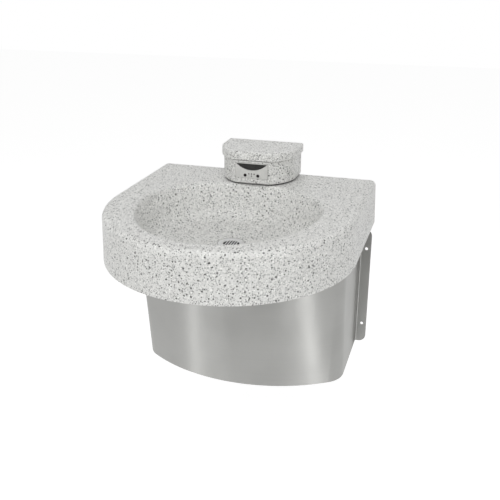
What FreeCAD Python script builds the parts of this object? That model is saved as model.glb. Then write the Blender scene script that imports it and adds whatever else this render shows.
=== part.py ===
import FreeCAD, Part
import math
import os

V = FreeCAD.Vector

# Wall-hung basin with a closed control head and a steel skirt that hides the pipes.
# Millimetres. +Z is up, the wall is the plane Y = 0, the front faces -Y.
# The origin is the centre of the four wall bolts that carry the brackets.

# Basin: a U in plan, half-round front on straight sides, open underneath
rim_z = 110.0
rim_half_width = 300.0
side_length = 301.0
basin_height = 117.0
apron_flare = 4.4
apron_wall = 15.0
deck_thickness = 15.0
rim_radius = 14.0
foot_radius = 2.5

# Bowl: an egg in plan about the drain axis, with a flat land between it and the rim or wall
bowl_side_land = 73.0
bowl_front_land = 36.0
bowl_back_land = 121.0
bowl_depth = 100.0
bowl_wall = 13.0
bowl_lip_radius = 10.0
bowl_floor_radius = 55.0
bowl_wall_angle = 66.0
bowl_floor_angle = 5.0

# Control head: a rounded box on the deck with one flat facet at the front
head_half_width = 98.0
head_side = 46.0
head_wall = 10.0
head_height = 62.0
head_foot_radius = 5.0
facet_corner_radius = 5.0
gasket_thickness = 2.0
gasket_margin = 0.5
lid_height = 22.0
lid_overhang = 5.0
lid_front_overhang = 1.5
lid_roof = 9.0
lid_edge_radius = 5.0
lid_foot_radius = 1.0

# Studs that clamp lid and body to the deck from below
stud_radius = 4.0
stud_x = 66.0
stud_y = 34.0
stud_grip = 14.0
stud_spare = 5.0
stud_boss_radius = 11.0
stud_washer_radius = 9.0
stud_washer_thickness = 2.0
stud_nut_flats = 13.0
stud_nut_height = 6.5

# Face plate on the facet, with a crescent mouth, two sensor eyes and indicator dots
plate_half_width = 43.0
plate_side_margin = 2.1
plate_top_margin = 7.0
plate_thickness = 1.5
plate_corner_radius = 2.0
crescent_side_margin = 2.0
crescent_sagitta = 17.0
crescent_margin = 1.5
mouth_web = 5.0
plate_stud_radius = 2.0
plate_stud_x = 33.0
plate_stud_rise = 3.5
plate_nut_flats = 7.0
plate_nut_height = 3.2
eye_radius = 3.0
eye_x = 17.0
eye_rise = 7.0
dot_radius = 1.4
dot_pitch = 7.0
dot_rise = 11.0
low_dot_rise = 5.5
lens_stand = 0.5

# Spray outlet behind the crescent
outlet_recess = 2.5
outlet_flange_thickness = 6.0
outlet_flange_margin = 5.0
outlet_seam_gap = 2.0
spigot_radius = 9.0
spigot_length = 18.0
orifice_radius = 1.2
orifice_depth = 5.0
orifice_pitch = 11.0
orifice_count = 5

# Sensor module behind the lower half of the plate
module_half_width = 26.0
module_low = 2.0
module_height = 13.5
module_flange = 1.5
module_flange_depth = 11.0

# Drain
strainer_radius = 33.0
strainer_thickness = 2.5
strainer_slot_width = 3.2
strainer_slot_pitch = 6.2
strainer_slot_count = 6
strainer_bar = 2.0
shank_radius = 23.0
shank_wall = 2.5
shank_length = 52.0
drain_hole_gap = 1.5
drain_land = 12.0
drain_boss_radius = 42.0
drain_seal_thickness = 1.0
drain_washer_radius = 36.0
drain_washer_thickness = 4.0
friction_ring_thickness = 1.5
locknut_flats = 60.0
locknut_height = 11.0

# Waste trap
waste_radius = 15.9
waste_wall = 1.4
tail_collar = 14.0
tail_flange = 6.0
trap_wall = 1.8
trap_bend = 45.0
trap_arm_bend = 40.0
trap_arm_drop = 265.0
trap_inlet_rise = 15.0
trap_outlet_drop = 60.0
trap_leg = 15.0
slip_nut_flats = 46.0
slip_nut_skirt = 12.0
slip_nut_web = 4.0
slip_washer_thickness = 4.0

# Skirt: one folded sheet, its front leaning back and its corners tightening downward
sheet = 1.5
skirt_inset = 28.0
skirt_tuck = 7.0
skirt_height = 369.0
skirt_top_reach = 75.0
skirt_low_reach = 16.5
skirt_top_corner = 49.0
skirt_low_corner = 65.0
skirt_top_radius = 372.0
skirt_low_radius = 440.0
skirt_bend = 3.0
flange_width = 28.5
flange_top_gap = 27.0
flange_corner_radius = 20.0
flange_hole_radius = 4.25
flange_hole_inset = 12.5
flange_hole_spacing = 228.0
tab_length = 30.0
tab_width = 34.0
tab_corner_radius = 4.0
tab_ys = (40.0, 180.0)
lug_margin = 3.0
skirt_screw_inset = 15.0
skirt_screw_radius = 3.0
skirt_screw_head_radius = 5.6
skirt_screw_head_height = 3.2
skirt_screw_length = 18.0
skirt_insert_radius = 4.6
skirt_insert_length = 16.0

# Wall brackets and the rail between them
bracket_x = 180.0
bracket_width = 40.0
bracket_thickness = 5.0
bracket_web = 4.0
bracket_reach = 150.0
bracket_drop = 160.0
bracket_nose = 12.0
bracket_web_radius = 260.0
wall_bolt_spacing = 80.0
wall_bolt_radius = 5.5
pad_thickness = 12.0
pad_overhang = 5.0
bracket_bolt_ys = (48.0, 122.0)
bracket_bolt_radius = 4.0
bracket_bolt_flats = 13.0
bracket_bolt_head = 5.3
bracket_bolt_length = 22.0
bracket_washer_radius = 8.0
bracket_washer_thickness = 1.6
bracket_insert_radius = 6.0
bracket_insert_length = 18.0
rail_gap = 6.0
rail_thickness = 3.0
rail_height = 30.0
rail_ear = 25.0
rail_screw_radius = 3.0
rail_screw_head_radius = 5.2
rail_screw_head_height = 3.3
rail_screw_length = 12.0

# Rigid tubes and their compression joints, all in one plane in front of the wall
service_y = 45.0
tube_radius = 6.0
tube_wall = 1.0
tube_bend = 24.0
socket_depth = 12.0
nut_flats = 20.0
nut_length = 10.0
grommet_radius = 10.0
grommet_flange = 3.5
grommet_lip = 2.0

# Stop valves on the wall, one each side
stop_x = 115.0
stop_drop = 330.0
stop_collar_flats = 27.0
stop_collar_length = 16.0
stop_body_radius = 11.0
stop_reach = 17.0
stop_pipe_radius = 8.0
stop_pipe_depth = 22.0
stop_outlet_radius = 9.0
stop_outlet_rise = 32.0
stop_bonnet_flats = 20.0
stop_bonnet_length = 10.0
stop_spindle_radius = 5.0
stop_spindle_seat = 9.0
stop_spindle_length = 34.0
stop_handle_long = 24.0
stop_handle_short = 13.0
stop_handle_thickness = 12.0
stop_handle_radius = 3.0
stop_handle_end = 2.0

# Mixing valve, clamped to the rail
mixer_radius = 18.0
mixer_top = 14.0
mixer_length = 66.0
mixer_inlet_drop = 30.0
mixer_inlet_radius = 10.0
mixer_inlet_half = 42.0
mixer_boss_radius = 14.0
mixer_boss_length = 22.0
mixer_bonnet_flats = 24.0
mixer_bonnet_length = 10.0
mixer_edge_radius = 4.0
spindle_radius = 4.0
spindle_seat = 9.0
spindle_stand = 6.0
spindle_key_flats = 10.0
spindle_key_length = 9.0
strap_wall = 4.0
strap_half_height = 10.0
strap_ear = 13.0
strap_ear_thickness = 5.0
strap_screw_radius = 2.5
strap_screw_head_radius = 4.3
strap_screw_head_height = 2.8

# Solenoid valve above the mixing valve
solenoid_radius = 15.0
solenoid_height = 50.0
solenoid_axis_rise = 26.0
solenoid_boss_radius = 17.0
solenoid_boss_length = 27.0
sleeve_radius = 6.5
sleeve_wall = 2.0
sleeve_seat = 12.0
sleeve_end = 3.0
coil_half = 18.0
coil_length = 32.0
coil_corner_radius = 6.0
coil_nut_flats = 17.0
coil_nut_height = 4.0
plunger_length = 27.0
spring_wall = 0.8

# Control box on the rail
box_side_gap = 9.0
box_valve_gap = 9.0
box_depth = 35.0
box_low = 20.0
box_height = 66.0
box_corner_radius = 6.0
box_cover_thickness = 4.0
box_cover_lip = 1.5

# Button-head screws: the flat crown and the straight rim, as shares of the head
screw_crown_share = 0.6
screw_rim_share = 1 / 3

# Clearances
slip = 0.3
thread_gap = 0.1
run_gap = 0.05
bolt_gap = 0.5
mouth_gap = 0.3
recess_gap = 1.0
overlap = 1.0
tiny = 0.01

# Levels and places that follow from the sizes above
UP = V(0, 0, 1)
FRONT = V(0, -1, 0)
BACK = V(0, 1, 0)
RIGHT = V(1, 0, 0)
SIDES = (-1, 1)
bowl_half_width = rim_half_width - bowl_side_land
bowl_front_reach = rim_half_width - bowl_front_land
bowl_back_reach = side_length - bowl_back_land
deck_under_z = rim_z - deck_thickness
basin_foot_z = rim_z - basin_height
head_foot_z = rim_z + gasket_thickness
seam_z = head_foot_z + head_height
gasket_inset = head_foot_radius + gasket_margin
lid_top_z = seam_z + lid_height
floor_slope = math.radians(bowl_floor_angle)
wall_slope = math.radians(bowl_wall_angle)
recess_radius = strainer_radius + recess_gap
recess_depth = strainer_thickness + drain_seal_thickness
recess_z = rim_z - bowl_depth + recess_radius * math.tan(floor_slope) - recess_depth
drain_hole_radius = shank_radius + drain_hole_gap
strainer_z = recess_z + drain_seal_thickness
boss_z = recess_z - drain_land
washer_z = boss_z - drain_washer_thickness
friction_z = washer_z - friction_ring_thickness
shank_low_z = strainer_z - shank_length
shank_bore = shank_radius - shank_wall
trap_radius = waste_radius + slip + trap_wall
trap_arm_z = rim_z - trap_arm_drop
trap_inlet_z = trap_arm_z + trap_inlet_rise
trap_outlet_z = trap_arm_z - trap_outlet_drop
trap_low_z = trap_outlet_z - trap_leg - trap_bend
trap_outlet_y = 2 * trap_bend - side_length
skirt_half_width = rim_half_width - skirt_inset
skirt_top_depth = side_length + skirt_top_reach
skirt_low_depth = side_length + skirt_low_reach
skirt_top_z = basin_foot_z + skirt_tuck
skirt_low_z = skirt_top_z - skirt_height
flange_half_width = skirt_half_width + flange_width
flange_height = skirt_height - flange_top_gap
flange_middle_z = skirt_low_z + flange_height / 2
flange_hole_x = flange_half_width - flange_hole_inset
skirt_screw_x = skirt_half_width - skirt_screw_inset
bracket_top_z = deck_under_z - pad_thickness
rail_front = rail_gap + rail_thickness
rail_half = bracket_x - bracket_width / 2
stop_z = rim_z - stop_drop
stop_body_length = service_y + stop_reach
stop_spout_z = stop_z + stop_outlet_rise
mixer_inlet_z = -mixer_inlet_drop
mixer_boss_y = -service_y - mixer_boss_length
solenoid_top_z = mixer_top + solenoid_height
solenoid_axis_z = mixer_top + solenoid_axis_rise
solenoid_boss_y = -service_y - solenoid_boss_length
sleeve_length = sleeve_seat + coil_length + coil_nut_height
plate_height = module_low + module_height + mouth_web + crescent_sagitta + crescent_margin
plate_high_z = seam_z - plate_top_margin
plate_low_z = plate_high_z - plate_height
crescent_half_chord = plate_half_width - crescent_side_margin
crescent_radius = (crescent_half_chord ** 2 + crescent_sagitta ** 2) / (2 * crescent_sagitta)
crescent_chord_z = plate_high_z - crescent_margin
crescent_low_z = crescent_chord_z - crescent_sagitta
crescent_centre_z = crescent_low_z + crescent_radius
spigot_z = crescent_chord_z - crescent_sagitta / 2
plate_stud_z = crescent_low_z + plate_stud_rise
facet_half_width = plate_half_width + plate_side_margin
head_depth = head_side + math.sqrt(head_half_width ** 2 - facet_half_width ** 2)
outlet_flange_half = plate_stud_x + outlet_flange_margin
facet_inner = head_depth - head_wall
outlet_back = facet_inner - outlet_flange_thickness
spigot_mouth = outlet_back - spigot_length
plate_face = head_depth + plate_thickness
box_left = box_side_gap - rail_half
box_right = -mixer_inlet_half - nut_length - box_valve_gap
box_width = box_right - box_left


def line(start, end):
    return Part.LineSegment(start, end).toShape()


def arc(start, middle, end):
    return Part.Arc(start, middle, end).toShape()


def rod(radius, start, end):
    """Round bar between two points."""
    axis = end - start
    return Part.makeCylinder(radius, axis.Length, start, axis)


def ring(outer, inner, start, end):
    """Round bar with a round hole along it."""
    return rod(outer, start, end).cut(rod(inner, start, end))


def hex_bar(flats, start, end):
    """Hexagonal bar between two points."""
    axis = end - start
    corner = flats / math.sqrt(3)
    turns = [k * math.pi / 3 for k in range(7)]
    points = [V(corner * math.cos(turn), corner * math.sin(turn), 0) for turn in turns]
    bar = Part.Face(Part.makePolygon(points)).extrude(V(0, 0, axis.Length))
    bar.Placement = FreeCAD.Placement(start, FreeCAD.Rotation(UP, axis))
    return bar


def block(low, high):
    size = high - low
    return Part.makeBox(size.x, size.y, size.z, low)


def turned(profile, base, axis):
    """Body of revolution from corners given as (radius, distance along the axis)."""
    points = [V(radius, 0, height) for radius, height in profile]
    solid = Part.Face(Part.makePolygon(points + points[:1])).revolve(V(0, 0, 0), UP, 360)
    solid.Placement = FreeCAD.Placement(base, FreeCAD.Rotation(UP, axis))
    return solid


def rounded_slab(centre, across, up, radius, thickness):
    """Plate with round corners: across and up are its half sides, thickness its depth vector."""
    a = across.Length
    b = up.Length
    e = V(across).normalize()
    f = V(up).normalize()
    corner = radius * (1 - math.sqrt(0.5))
    edges = []
    for i, j in ((1, 1), (-1, 1), (-1, -1), (1, -1)):
        along = centre + e * (i * (a - radius)) + f * (j * b)
        above = centre + e * (i * a) + f * (j * (b - radius))
        ends = [along, above]
        if i == j:
            ends.reverse()
        middle = centre + e * (i * (a - corner)) + f * (j * (b - corner))
        edges.append(arc(ends[0], middle, ends[1]))
    closed = []
    for k, edge in enumerate(edges):
        following = edges[(k + 1) % len(edges)]
        closed.append(edge)
        closed.append(line(edge.Vertexes[-1].Point, following.Vertexes[0].Point))
    return Part.Face(Part.Wire(closed)).extrude(thickness)


def corner_arc(before, corner, after, radius):
    """Start, middle and end of the arc that rounds the corner between two straight runs."""
    into = (corner - before).normalize()
    out = (after - corner).normalize()
    turn = into.getAngle(out)
    reach = radius * math.tan(turn / 2)
    bulge = radius / math.cos(turn / 2) - radius
    middle = corner + (out - into).normalize() * bulge
    return corner - into * reach, middle, corner + out * reach


def route(points, bend):
    """Path of straight runs joined by tangent arcs of one bend radius."""
    edges = []
    start = points[0]
    for before, corner, after in zip(points, points[1:], points[2:]):
        first, middle, last = corner_arc(before, corner, after, bend)
        if start.distanceToPoint(first) > tiny:
            edges.append(line(start, first))
        edges.append(arc(first, middle, last))
        start = last
    edges.append(line(start, points[-1]))
    return Part.Wire(edges)


def swept_rod(path, radius):
    first = path.OrderedEdges[0]
    start = first.valueAt(first.FirstParameter)
    section = Part.Wire(Part.makeCircle(radius, start, first.tangentAt(first.FirstParameter)))
    return path.makePipeShell([section], True, False)


def swept_tube(path, radius, wall):
    """Tube of one wall thickness along a path."""
    return swept_rod(path, radius).cut(swept_rod(path, radius - wall))


def level_edges(shape, z):
    """Edges that lie at one height, apart from the one along the wall."""
    found = []
    for edge in shape.Edges:
        box = edge.BoundBox
        if abs(box.ZMin - z) < tiny and abs(box.ZMax - z) < tiny and box.YMin < -tiny:
            found.append(edge)
    return found


def upright_edges(shape, x, y):
    """Vertical edges at one place in plan, on either side."""
    found = []
    for edge in shape.Edges:
        box = edge.BoundBox
        if box.ZLength > overlap and box.XLength < tiny and box.YLength < tiny:
            if abs(abs(box.Center.x) - x) < tiny and abs(box.Center.y - y) < tiny:
                found.append(edge)
    return found


def hex_nut(flats, bore, start, end):
    return hex_bar(flats, start, end).cut(rod(bore, start, end))


def screw(head_radius, head_height, radius, length, seat, axis):
    """Button-head screw: the head stands behind the seat, the shank runs along the axis."""
    crown = head_radius * screw_crown_share
    rim = head_height * screw_rim_share
    profile = [(0, -head_height), (crown, -head_height), (head_radius, -rim), (head_radius, 0),
               (radius, 0), (radius, length), (0, length)]
    return turned(profile, seat, axis)


def group(solids):
    return Part.makeCompound(list(solids))


def half_width_at(z):
    """Outer half-width of the flaring apron at one height."""
    return rim_half_width + apron_flare * (rim_z - z) / basin_height


def u_outline(half_width, back, z):
    """U in plan: straight sides from the wall and a half-round front."""
    back_right = V(half_width, back, z)
    front_right = V(half_width, -side_length, z)
    nose = V(0, -side_length - half_width, z)
    front_left = V(-half_width, -side_length, z)
    back_left = V(-half_width, back, z)
    edges = [line(back_right, front_right), arc(front_right, nose, front_left)]
    edges += [line(front_left, back_left), line(back_left, back_right)]
    return Part.Wire(edges)


def bowl_side(grow, top):
    """Edges of the bowl's half section from the drain out and up to a point on the wall.

    The floor slopes to the drain, a round corner leads into a steep straight wall, and
    grow moves both outward by the thickness of the shell."""
    floor_z = -bowl_depth - grow / math.cos(floor_slope)
    rise = math.tan(floor_slope)
    steep = math.tan(wall_slope)
    corner_r = (floor_z - top.z + top.x * steep) / (steep - rise)
    start = V(drain_hole_radius / 2, 0, floor_z + drain_hole_radius / 2 * rise)
    corner = V(corner_r, 0, floor_z + corner_r * rise)
    first, middle, last = corner_arc(start, corner, top, bowl_floor_radius + grow)
    return start, [line(start, first), arc(first, middle, last), line(last, top)]


def bowl_half_turns(section):
    """Turn a half section about the drain axis, stretched to the front and back reach."""
    halves = []
    for angle, reach in ((180, bowl_back_reach), (-180, bowl_front_reach)):
        half = section.revolve(V(0, 0, 0), UP, angle)
        stretch = FreeCAD.Matrix()
        stretch.A22 = reach / bowl_half_width
        halves.append(half.transformGeometry(stretch))
    bowl = halves[0].fuse(halves[1]).removeSplitter()
    bowl.translate(V(0, -side_length, rim_z))
    return bowl


def bowl_lip():
    """End, middle and top of the rolled lip in the half section."""
    centre = V(bowl_half_width, 0, -bowl_lip_radius)
    points = []
    for angle in (wall_slope, wall_slope / 2, 0):
        points.append(centre + V(-math.sin(angle), 0, math.cos(angle)) * bowl_lip_radius)
    return points


def bowl_hollow():
    """What the bowl removes from the deck: floor, wall and rolled lip."""
    lip_end, lip_middle, lip_top = bowl_lip()
    start, edges = bowl_side(0, lip_end)
    edge_top = lip_top + V(0, 0, overlap)
    core_top = V(start.x, 0, edge_top.z)
    edges += [arc(lip_end, lip_middle, lip_top), line(lip_top, edge_top)]
    edges += [line(edge_top, core_top), line(core_top, start)]
    return bowl_half_turns(Part.Face(Part.Wire(edges)))


def bowl_shell():
    """Outside of the bowl under the deck."""
    lip_end = bowl_lip()[0]
    top_z = -deck_thickness / 2
    top_r = lip_end.x + bowl_wall / math.sin(wall_slope) + (top_z - lip_end.z) / math.tan(wall_slope)
    top = V(top_r, 0, top_z)
    start, edges = bowl_side(bowl_wall, top)
    core_top = V(start.x, 0, top_z)
    edges += [line(top, core_top), line(core_top, start)]
    return bowl_half_turns(Part.Face(Part.Wire(edges)))


def on_drain(z):
    return V(0, -side_length, z)


def skirt_screw_points():
    return [V(side * skirt_screw_x, -y, skirt_top_z) for side in SIDES for y in tab_ys]


def bracket_bolt_points():
    return [V(side * bracket_x, -y, bracket_top_z) for side in SIDES for y in bracket_bolt_ys]


def stud_points(z):
    return [V(side * stud_x, -stud_y, z) for side in SIDES]


def basin():
    """Cast basin: flaring apron, deck, egg bowl, and under it bracket pads and skirt lugs."""
    foot = half_width_at(basin_foot_z)
    rings = [u_outline(foot, overlap, basin_foot_z), u_outline(rim_half_width, overlap, rim_z)]
    outer = Part.makeLoft(rings, True, True)
    outer = outer.makeFillet(rim_radius, level_edges(outer, rim_z))
    outer = outer.makeFillet(foot_radius, level_edges(outer, basin_foot_z))
    mouth_z = basin_foot_z - overlap
    inner_foot = u_outline(half_width_at(mouth_z) - apron_wall, 2 * overlap, mouth_z)
    inner_top = u_outline(half_width_at(deck_under_z) - apron_wall, 2 * overlap, deck_under_z)
    body = outer.cut(Part.makeLoft([inner_foot, inner_top], True, True))
    pad_half = bracket_width / 2 + pad_overhang
    lug_inner = skirt_half_width - tab_length - lug_margin
    lug_outer = half_width_at(deck_under_z) - apron_wall / 2
    lug_half = tab_width / 2 + lug_margin
    added = [bowl_shell(), rod(drain_boss_radius, on_drain(boss_z), on_drain(recess_z))]
    for side in SIDES:
        pad_middle = V(side * bracket_x, -(bracket_reach + pad_overhang) / 2, bracket_top_z)
        pad_length = V(0, (bracket_reach + pad_overhang) / 2, 0)
        pad_rise = V(0, 0, pad_thickness + deck_thickness / 2)
        added.append(rounded_slab(pad_middle, RIGHT * pad_half, pad_length, pad_overhang, pad_rise))
        for y in tab_ys:
            middle = V(side * (lug_inner + lug_outer) / 2, -y, skirt_top_z)
            across = RIGHT * ((lug_outer - lug_inner) / 2)
            lug_rise = V(0, 0, deck_under_z - skirt_top_z + deck_thickness / 2)
            added.append(rounded_slab(middle, across, BACK * lug_half, tab_corner_radius, lug_rise))
    body = body.fuse(added)
    wall_room = block(V(-foot - overlap, 0, mouth_z), V(foot + overlap, 2 * overlap, rim_z + overlap))
    removed = [bowl_hollow(), wall_room]
    removed.append(rod(drain_hole_radius, on_drain(basin_foot_z - drain_land), on_drain(rim_z + overlap)))
    removed.append(rod(recess_radius, on_drain(recess_z), on_drain(rim_z + overlap)))
    tube_hole = V(0, -service_y, deck_under_z - overlap)
    removed.append(rod(grommet_radius, tube_hole, tube_hole + UP * (deck_thickness + 2 * overlap)))
    for point in stud_points(deck_under_z - overlap):
        removed.append(rod(stud_radius + bolt_gap, point, point + UP * (deck_thickness + 2 * overlap)))
    for point in bracket_bolt_points():
        removed.append(rod(bracket_insert_radius, point, point + UP * bracket_insert_length))
    for point in skirt_screw_points():
        removed.append(rod(skirt_insert_radius, point, point + UP * (skirt_screw_length + overlap)))
    return body.cut(removed).removeSplitter()


def inserts(points, radius, length, bore):
    """Threaded inserts cast into the basin, flush with the faces that they serve."""
    return group(ring(radius, bore, point, point + UP * length) for point in points)


def bracket_inserts():
    bore = bracket_bolt_radius + thread_gap
    return inserts(bracket_bolt_points(), bracket_insert_radius, bracket_insert_length, bore)


def skirt_inserts():
    bore = skirt_screw_radius + thread_gap
    return inserts(skirt_screw_points(), skirt_insert_radius, skirt_insert_length, bore)


def head_outline(grow, front_grow, back, z):
    """Plan of the head: straight sides from the wall, a round front and a flat facet.

    grow moves the sides and the round front outward, front_grow moves the facet."""
    half = head_half_width + grow
    facet = head_depth + front_grow
    turn = math.asin((facet - head_side) / half)
    chord = half * math.cos(turn)
    right = [V(half, back, z), V(half, -head_side, z)]
    right.append(V(half * math.cos(turn / 2), -head_side - half * math.sin(turn / 2), z))
    right.append(V(chord, -facet, z))
    left = [V(-p.x, p.y, p.z) for p in reversed(right)]
    edges = [line(right[0], right[1]), arc(*right[1:]), line(right[3], left[0])]
    edges += [arc(*left[:3]), line(left[2], left[3]), line(left[3], right[0])]
    return Part.Wire(edges)


def head_prism(grow, back, low, high):
    return Part.Face(head_outline(grow, grow, back, low)).extrude(UP * (high - low))


def facet_rounded(solid, grow, front_grow):
    """Round the two upright edges where the facet meets the round front."""
    half = head_half_width + grow
    facet = head_depth + front_grow
    chord = math.sqrt(half ** 2 - (facet - head_side) ** 2)
    return solid.makeFillet(facet_corner_radius, upright_edges(solid, chord, -facet))


def crescent(inset, front, back):
    """Crescent prism: a straight chord on top and one round arc below."""
    radius = crescent_radius - inset
    chord_z = crescent_chord_z - inset
    half = math.sqrt(radius ** 2 - (crescent_centre_z - chord_z) ** 2)
    left = V(-half, -front, chord_z)
    right = V(half, -front, chord_z)
    low = V(0, -front, crescent_centre_z - radius)
    return Part.Face(Part.Wire([line(left, right), arc(right, low, left)])).extrude(BACK * (front - back))


def plate_stud_points(y):
    return [V(side * plate_stud_x, -y, plate_stud_z) for side in SIDES]


def module_block(grow, front, back):
    """Prism of the sensor module's outline, grown on every side."""
    low = plate_low_z + module_low - grow
    high = plate_low_z + module_low + module_height + grow
    half = module_half_width + grow
    return block(V(-half, -front, low), V(half, -back, high))


def head_body():
    """Head shell: an open frame of one wall thickness, round at its foot, with windows in its facet."""
    outer = facet_rounded(head_prism(0, 0, head_foot_z, seam_z), 0, 0)
    outer = outer.makeFillet(head_foot_radius, level_edges(outer, head_foot_z))
    body = outer.cut(head_prism(-head_wall, -head_wall, head_foot_z - overlap, seam_z + overlap))
    front = head_depth + overlap
    back = facet_inner - overlap
    windows = [crescent(-mouth_gap, front, back), module_block(mouth_gap, front, back)]
    for point in plate_stud_points(front):
        windows.append(rod(plate_stud_radius + mouth_gap, point, point + BACK * (front - back)))
    return body.cut(windows)


def head_lid():
    """Lid: a cap that oversails the body, with soft edges and two bosses for the studs."""
    plan = Part.Face(head_outline(lid_overhang, lid_front_overhang, 0, seam_z))
    cap = facet_rounded(plan.extrude(UP * lid_height), lid_overhang, lid_front_overhang)
    cap = cap.makeFillet(lid_edge_radius, level_edges(cap, lid_top_z))
    cap = cap.makeFillet(lid_foot_radius, level_edges(cap, seam_z))
    roof_z = lid_top_z - lid_roof
    pocket = head_prism(-head_wall, -head_wall, seam_z - overlap, roof_z)
    bosses = [rod(stud_boss_radius, point, point + UP * (roof_z - seam_z)) for point in stud_points(seam_z)]
    cap = cap.cut(pocket).fuse([boss.common(pocket) for boss in bosses])
    holes = [rod(stud_radius + thread_gap, point, point + UP * stud_grip) for point in stud_points(seam_z)]
    return cap.cut(holes).removeSplitter()


def head_gasket():
    """Soft gasket under the head, set in from its outer face."""
    outer = head_prism(-gasket_inset, -gasket_inset, rim_z, head_foot_z)
    return outer.cut(head_prism(-head_wall, -head_wall, rim_z - overlap, head_foot_z + overlap))


def eye_points(y):
    return [V(side * eye_x, -y, plate_low_z + eye_rise) for side in SIDES]


def dot_points(y):
    upper = [V(k * dot_pitch, -y, plate_low_z + dot_rise) for k in (-1, 0, 1)]
    return upper + [V(0, -y, plate_low_z + low_dot_rise)]


def face_plate():
    """Thin steel plate on the facet, with two welded studs behind it."""
    middle = V(0, -head_depth, plate_low_z + plate_height / 2)
    sheet_front = FRONT * plate_thickness
    up = UP * (plate_height / 2)
    plate = rounded_slab(middle, RIGHT * plate_half_width, up, plate_corner_radius, sheet_front)
    front = plate_face + overlap
    back = head_depth - overlap
    holes = [crescent(0, front, back)]
    for point in eye_points(front):
        holes.append(rod(eye_radius + mouth_gap, point, point + BACK * (front - back)))
    for point in dot_points(front):
        holes.append(rod(dot_radius + mouth_gap, point, point + BACK * (front - back)))
    reach = head_wall + outlet_flange_thickness + plate_nut_height + overlap
    studs = [rod(plate_stud_radius, point, point + BACK * reach) for point in plate_stud_points(head_depth)]
    return plate.cut(holes).fuse(studs)


def plate_nuts():
    nuts = []
    for point in plate_stud_points(outlet_back):
        back = point + BACK * plate_nut_height
        nuts.append(hex_nut(plate_nut_flats, plate_stud_radius + thread_gap, point, back))
    return group(nuts)


def spray_outlet():
    """Black moulded outlet: crescent nose with a row of orifices, flange and tube spigot."""
    nose_front = plate_face - outlet_recess
    nose = crescent(mouth_gap, nose_front, facet_inner)
    flange_low = plate_stud_z - outlet_flange_margin
    flange_high = seam_z - outlet_seam_gap
    middle = V(0, -facet_inner, (flange_low + flange_high) / 2)
    up = UP * ((flange_high - flange_low) / 2)
    depth = BACK * outlet_flange_thickness
    flange = rounded_slab(middle, RIGHT * outlet_flange_half, up, plate_corner_radius, depth)
    spigot = rod(spigot_radius, V(0, -outlet_back, spigot_z), V(0, -spigot_mouth, spigot_z))
    socket_end = V(0, -spigot_mouth - socket_depth, spigot_z)
    holes = [rod(tube_radius + slip, V(0, -spigot_mouth, spigot_z), socket_end)]
    for point in plate_stud_points(facet_inner + overlap):
        back = point + BACK * (outlet_flange_thickness + 2 * overlap)
        holes.append(rod(plate_stud_radius + mouth_gap, point, back))
    for k in range(orifice_count):
        x = (k - (orifice_count - 1) / 2) * orifice_pitch
        mouth = V(x, -nose_front, spigot_z)
        holes.append(rod(orifice_radius, mouth, mouth + BACK * orifice_depth))
    return nose.fuse([flange, spigot]).cut(holes)


def sensor_module():
    """Sensor and indicator module, seated on the plate with its flange inside the facet."""
    nose = module_block(0, head_depth, facet_inner)
    return nose.fuse(module_block(module_flange, facet_inner, facet_inner - module_flange_depth))


def domes(points, radius):
    """Small round lenses that fill their holes and stand a little proud of the plate."""
    stand = plate_thickness + lens_stand
    profile = [(0, 0), (radius, 0), (radius, plate_thickness), (radius - lens_stand, stand), (0, stand)]
    return group(turned(profile, point, FRONT) for point in points)


def head_studs():
    low = deck_under_z - stud_washer_thickness - stud_nut_height - stud_spare
    length = seam_z + stud_grip - low
    return group(rod(stud_radius, point, point + UP * length) for point in stud_points(low))


def head_washers():
    low = deck_under_z - stud_washer_thickness
    bore = stud_radius + bolt_gap
    return group(ring(stud_washer_radius, bore, point, point + UP * stud_washer_thickness)
                 for point in stud_points(low))


def head_nuts():
    low = deck_under_z - stud_washer_thickness - stud_nut_height
    bore = stud_radius + thread_gap
    rise = UP * stud_nut_height
    return group(hex_nut(stud_nut_flats, bore, point, point + rise) for point in stud_points(low))


def outlet_tube():
    """Rigid tube from the solenoid valve up through the deck and forward into the spray outlet."""
    low = V(0, -service_y, solenoid_top_z - socket_depth)
    corner = V(0, -service_y, spigot_z)
    end = V(0, -spigot_mouth - socket_depth, spigot_z)
    return swept_tube(route([low, corner, end], tube_bend), tube_radius, tube_wall)


def tube_grommet():
    """Grommet that fills the tube's hole in the deck, with a lip above and below."""
    bore = tube_radius + slip
    lip = grommet_radius + grommet_flange
    top = deck_thickness + grommet_lip
    profile = [(bore, -grommet_lip), (lip, -grommet_lip), (lip, 0), (grommet_radius, 0),
               (grommet_radius, deck_thickness), (lip, deck_thickness), (lip, top), (bore, top)]
    return turned(profile, V(0, -service_y, deck_under_z), UP)


def drain_strainer():
    """Slotted flange and threaded shank in one turned piece."""
    top = strainer_thickness
    profile = [(0, 0), (shank_bore, 0), (shank_bore, -shank_length), (shank_radius, -shank_length),
               (shank_radius, 0), (strainer_radius, 0), (strainer_radius, top / 2),
               (strainer_radius - top, top), (0, top)]
    body = turned(profile, on_drain(strainer_z), UP)
    reach = shank_bore - strainer_bar
    slots = []
    for k in range(strainer_slot_count):
        x = (k - (strainer_slot_count - 1) / 2) * strainer_slot_pitch
        half = math.sqrt(reach ** 2 - x ** 2)
        middle = on_drain(strainer_z - overlap) + V(x, 0, 0)
        across = RIGHT * (strainer_slot_width / 2)
        round_end = strainer_slot_width / 2 - tiny
        slots.append(rounded_slab(middle, across, BACK * half, round_end, UP * (top + 2 * overlap)))
    return body.cut(slots)


def drain_seal():
    bore = shank_radius + slip
    return ring(strainer_radius, bore, on_drain(recess_z), on_drain(strainer_z))


def drain_washer():
    return ring(drain_washer_radius, shank_radius + slip, on_drain(washer_z), on_drain(boss_z))


def drain_friction_ring():
    return ring(drain_washer_radius, shank_radius + slip, on_drain(friction_z), on_drain(washer_z))


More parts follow.
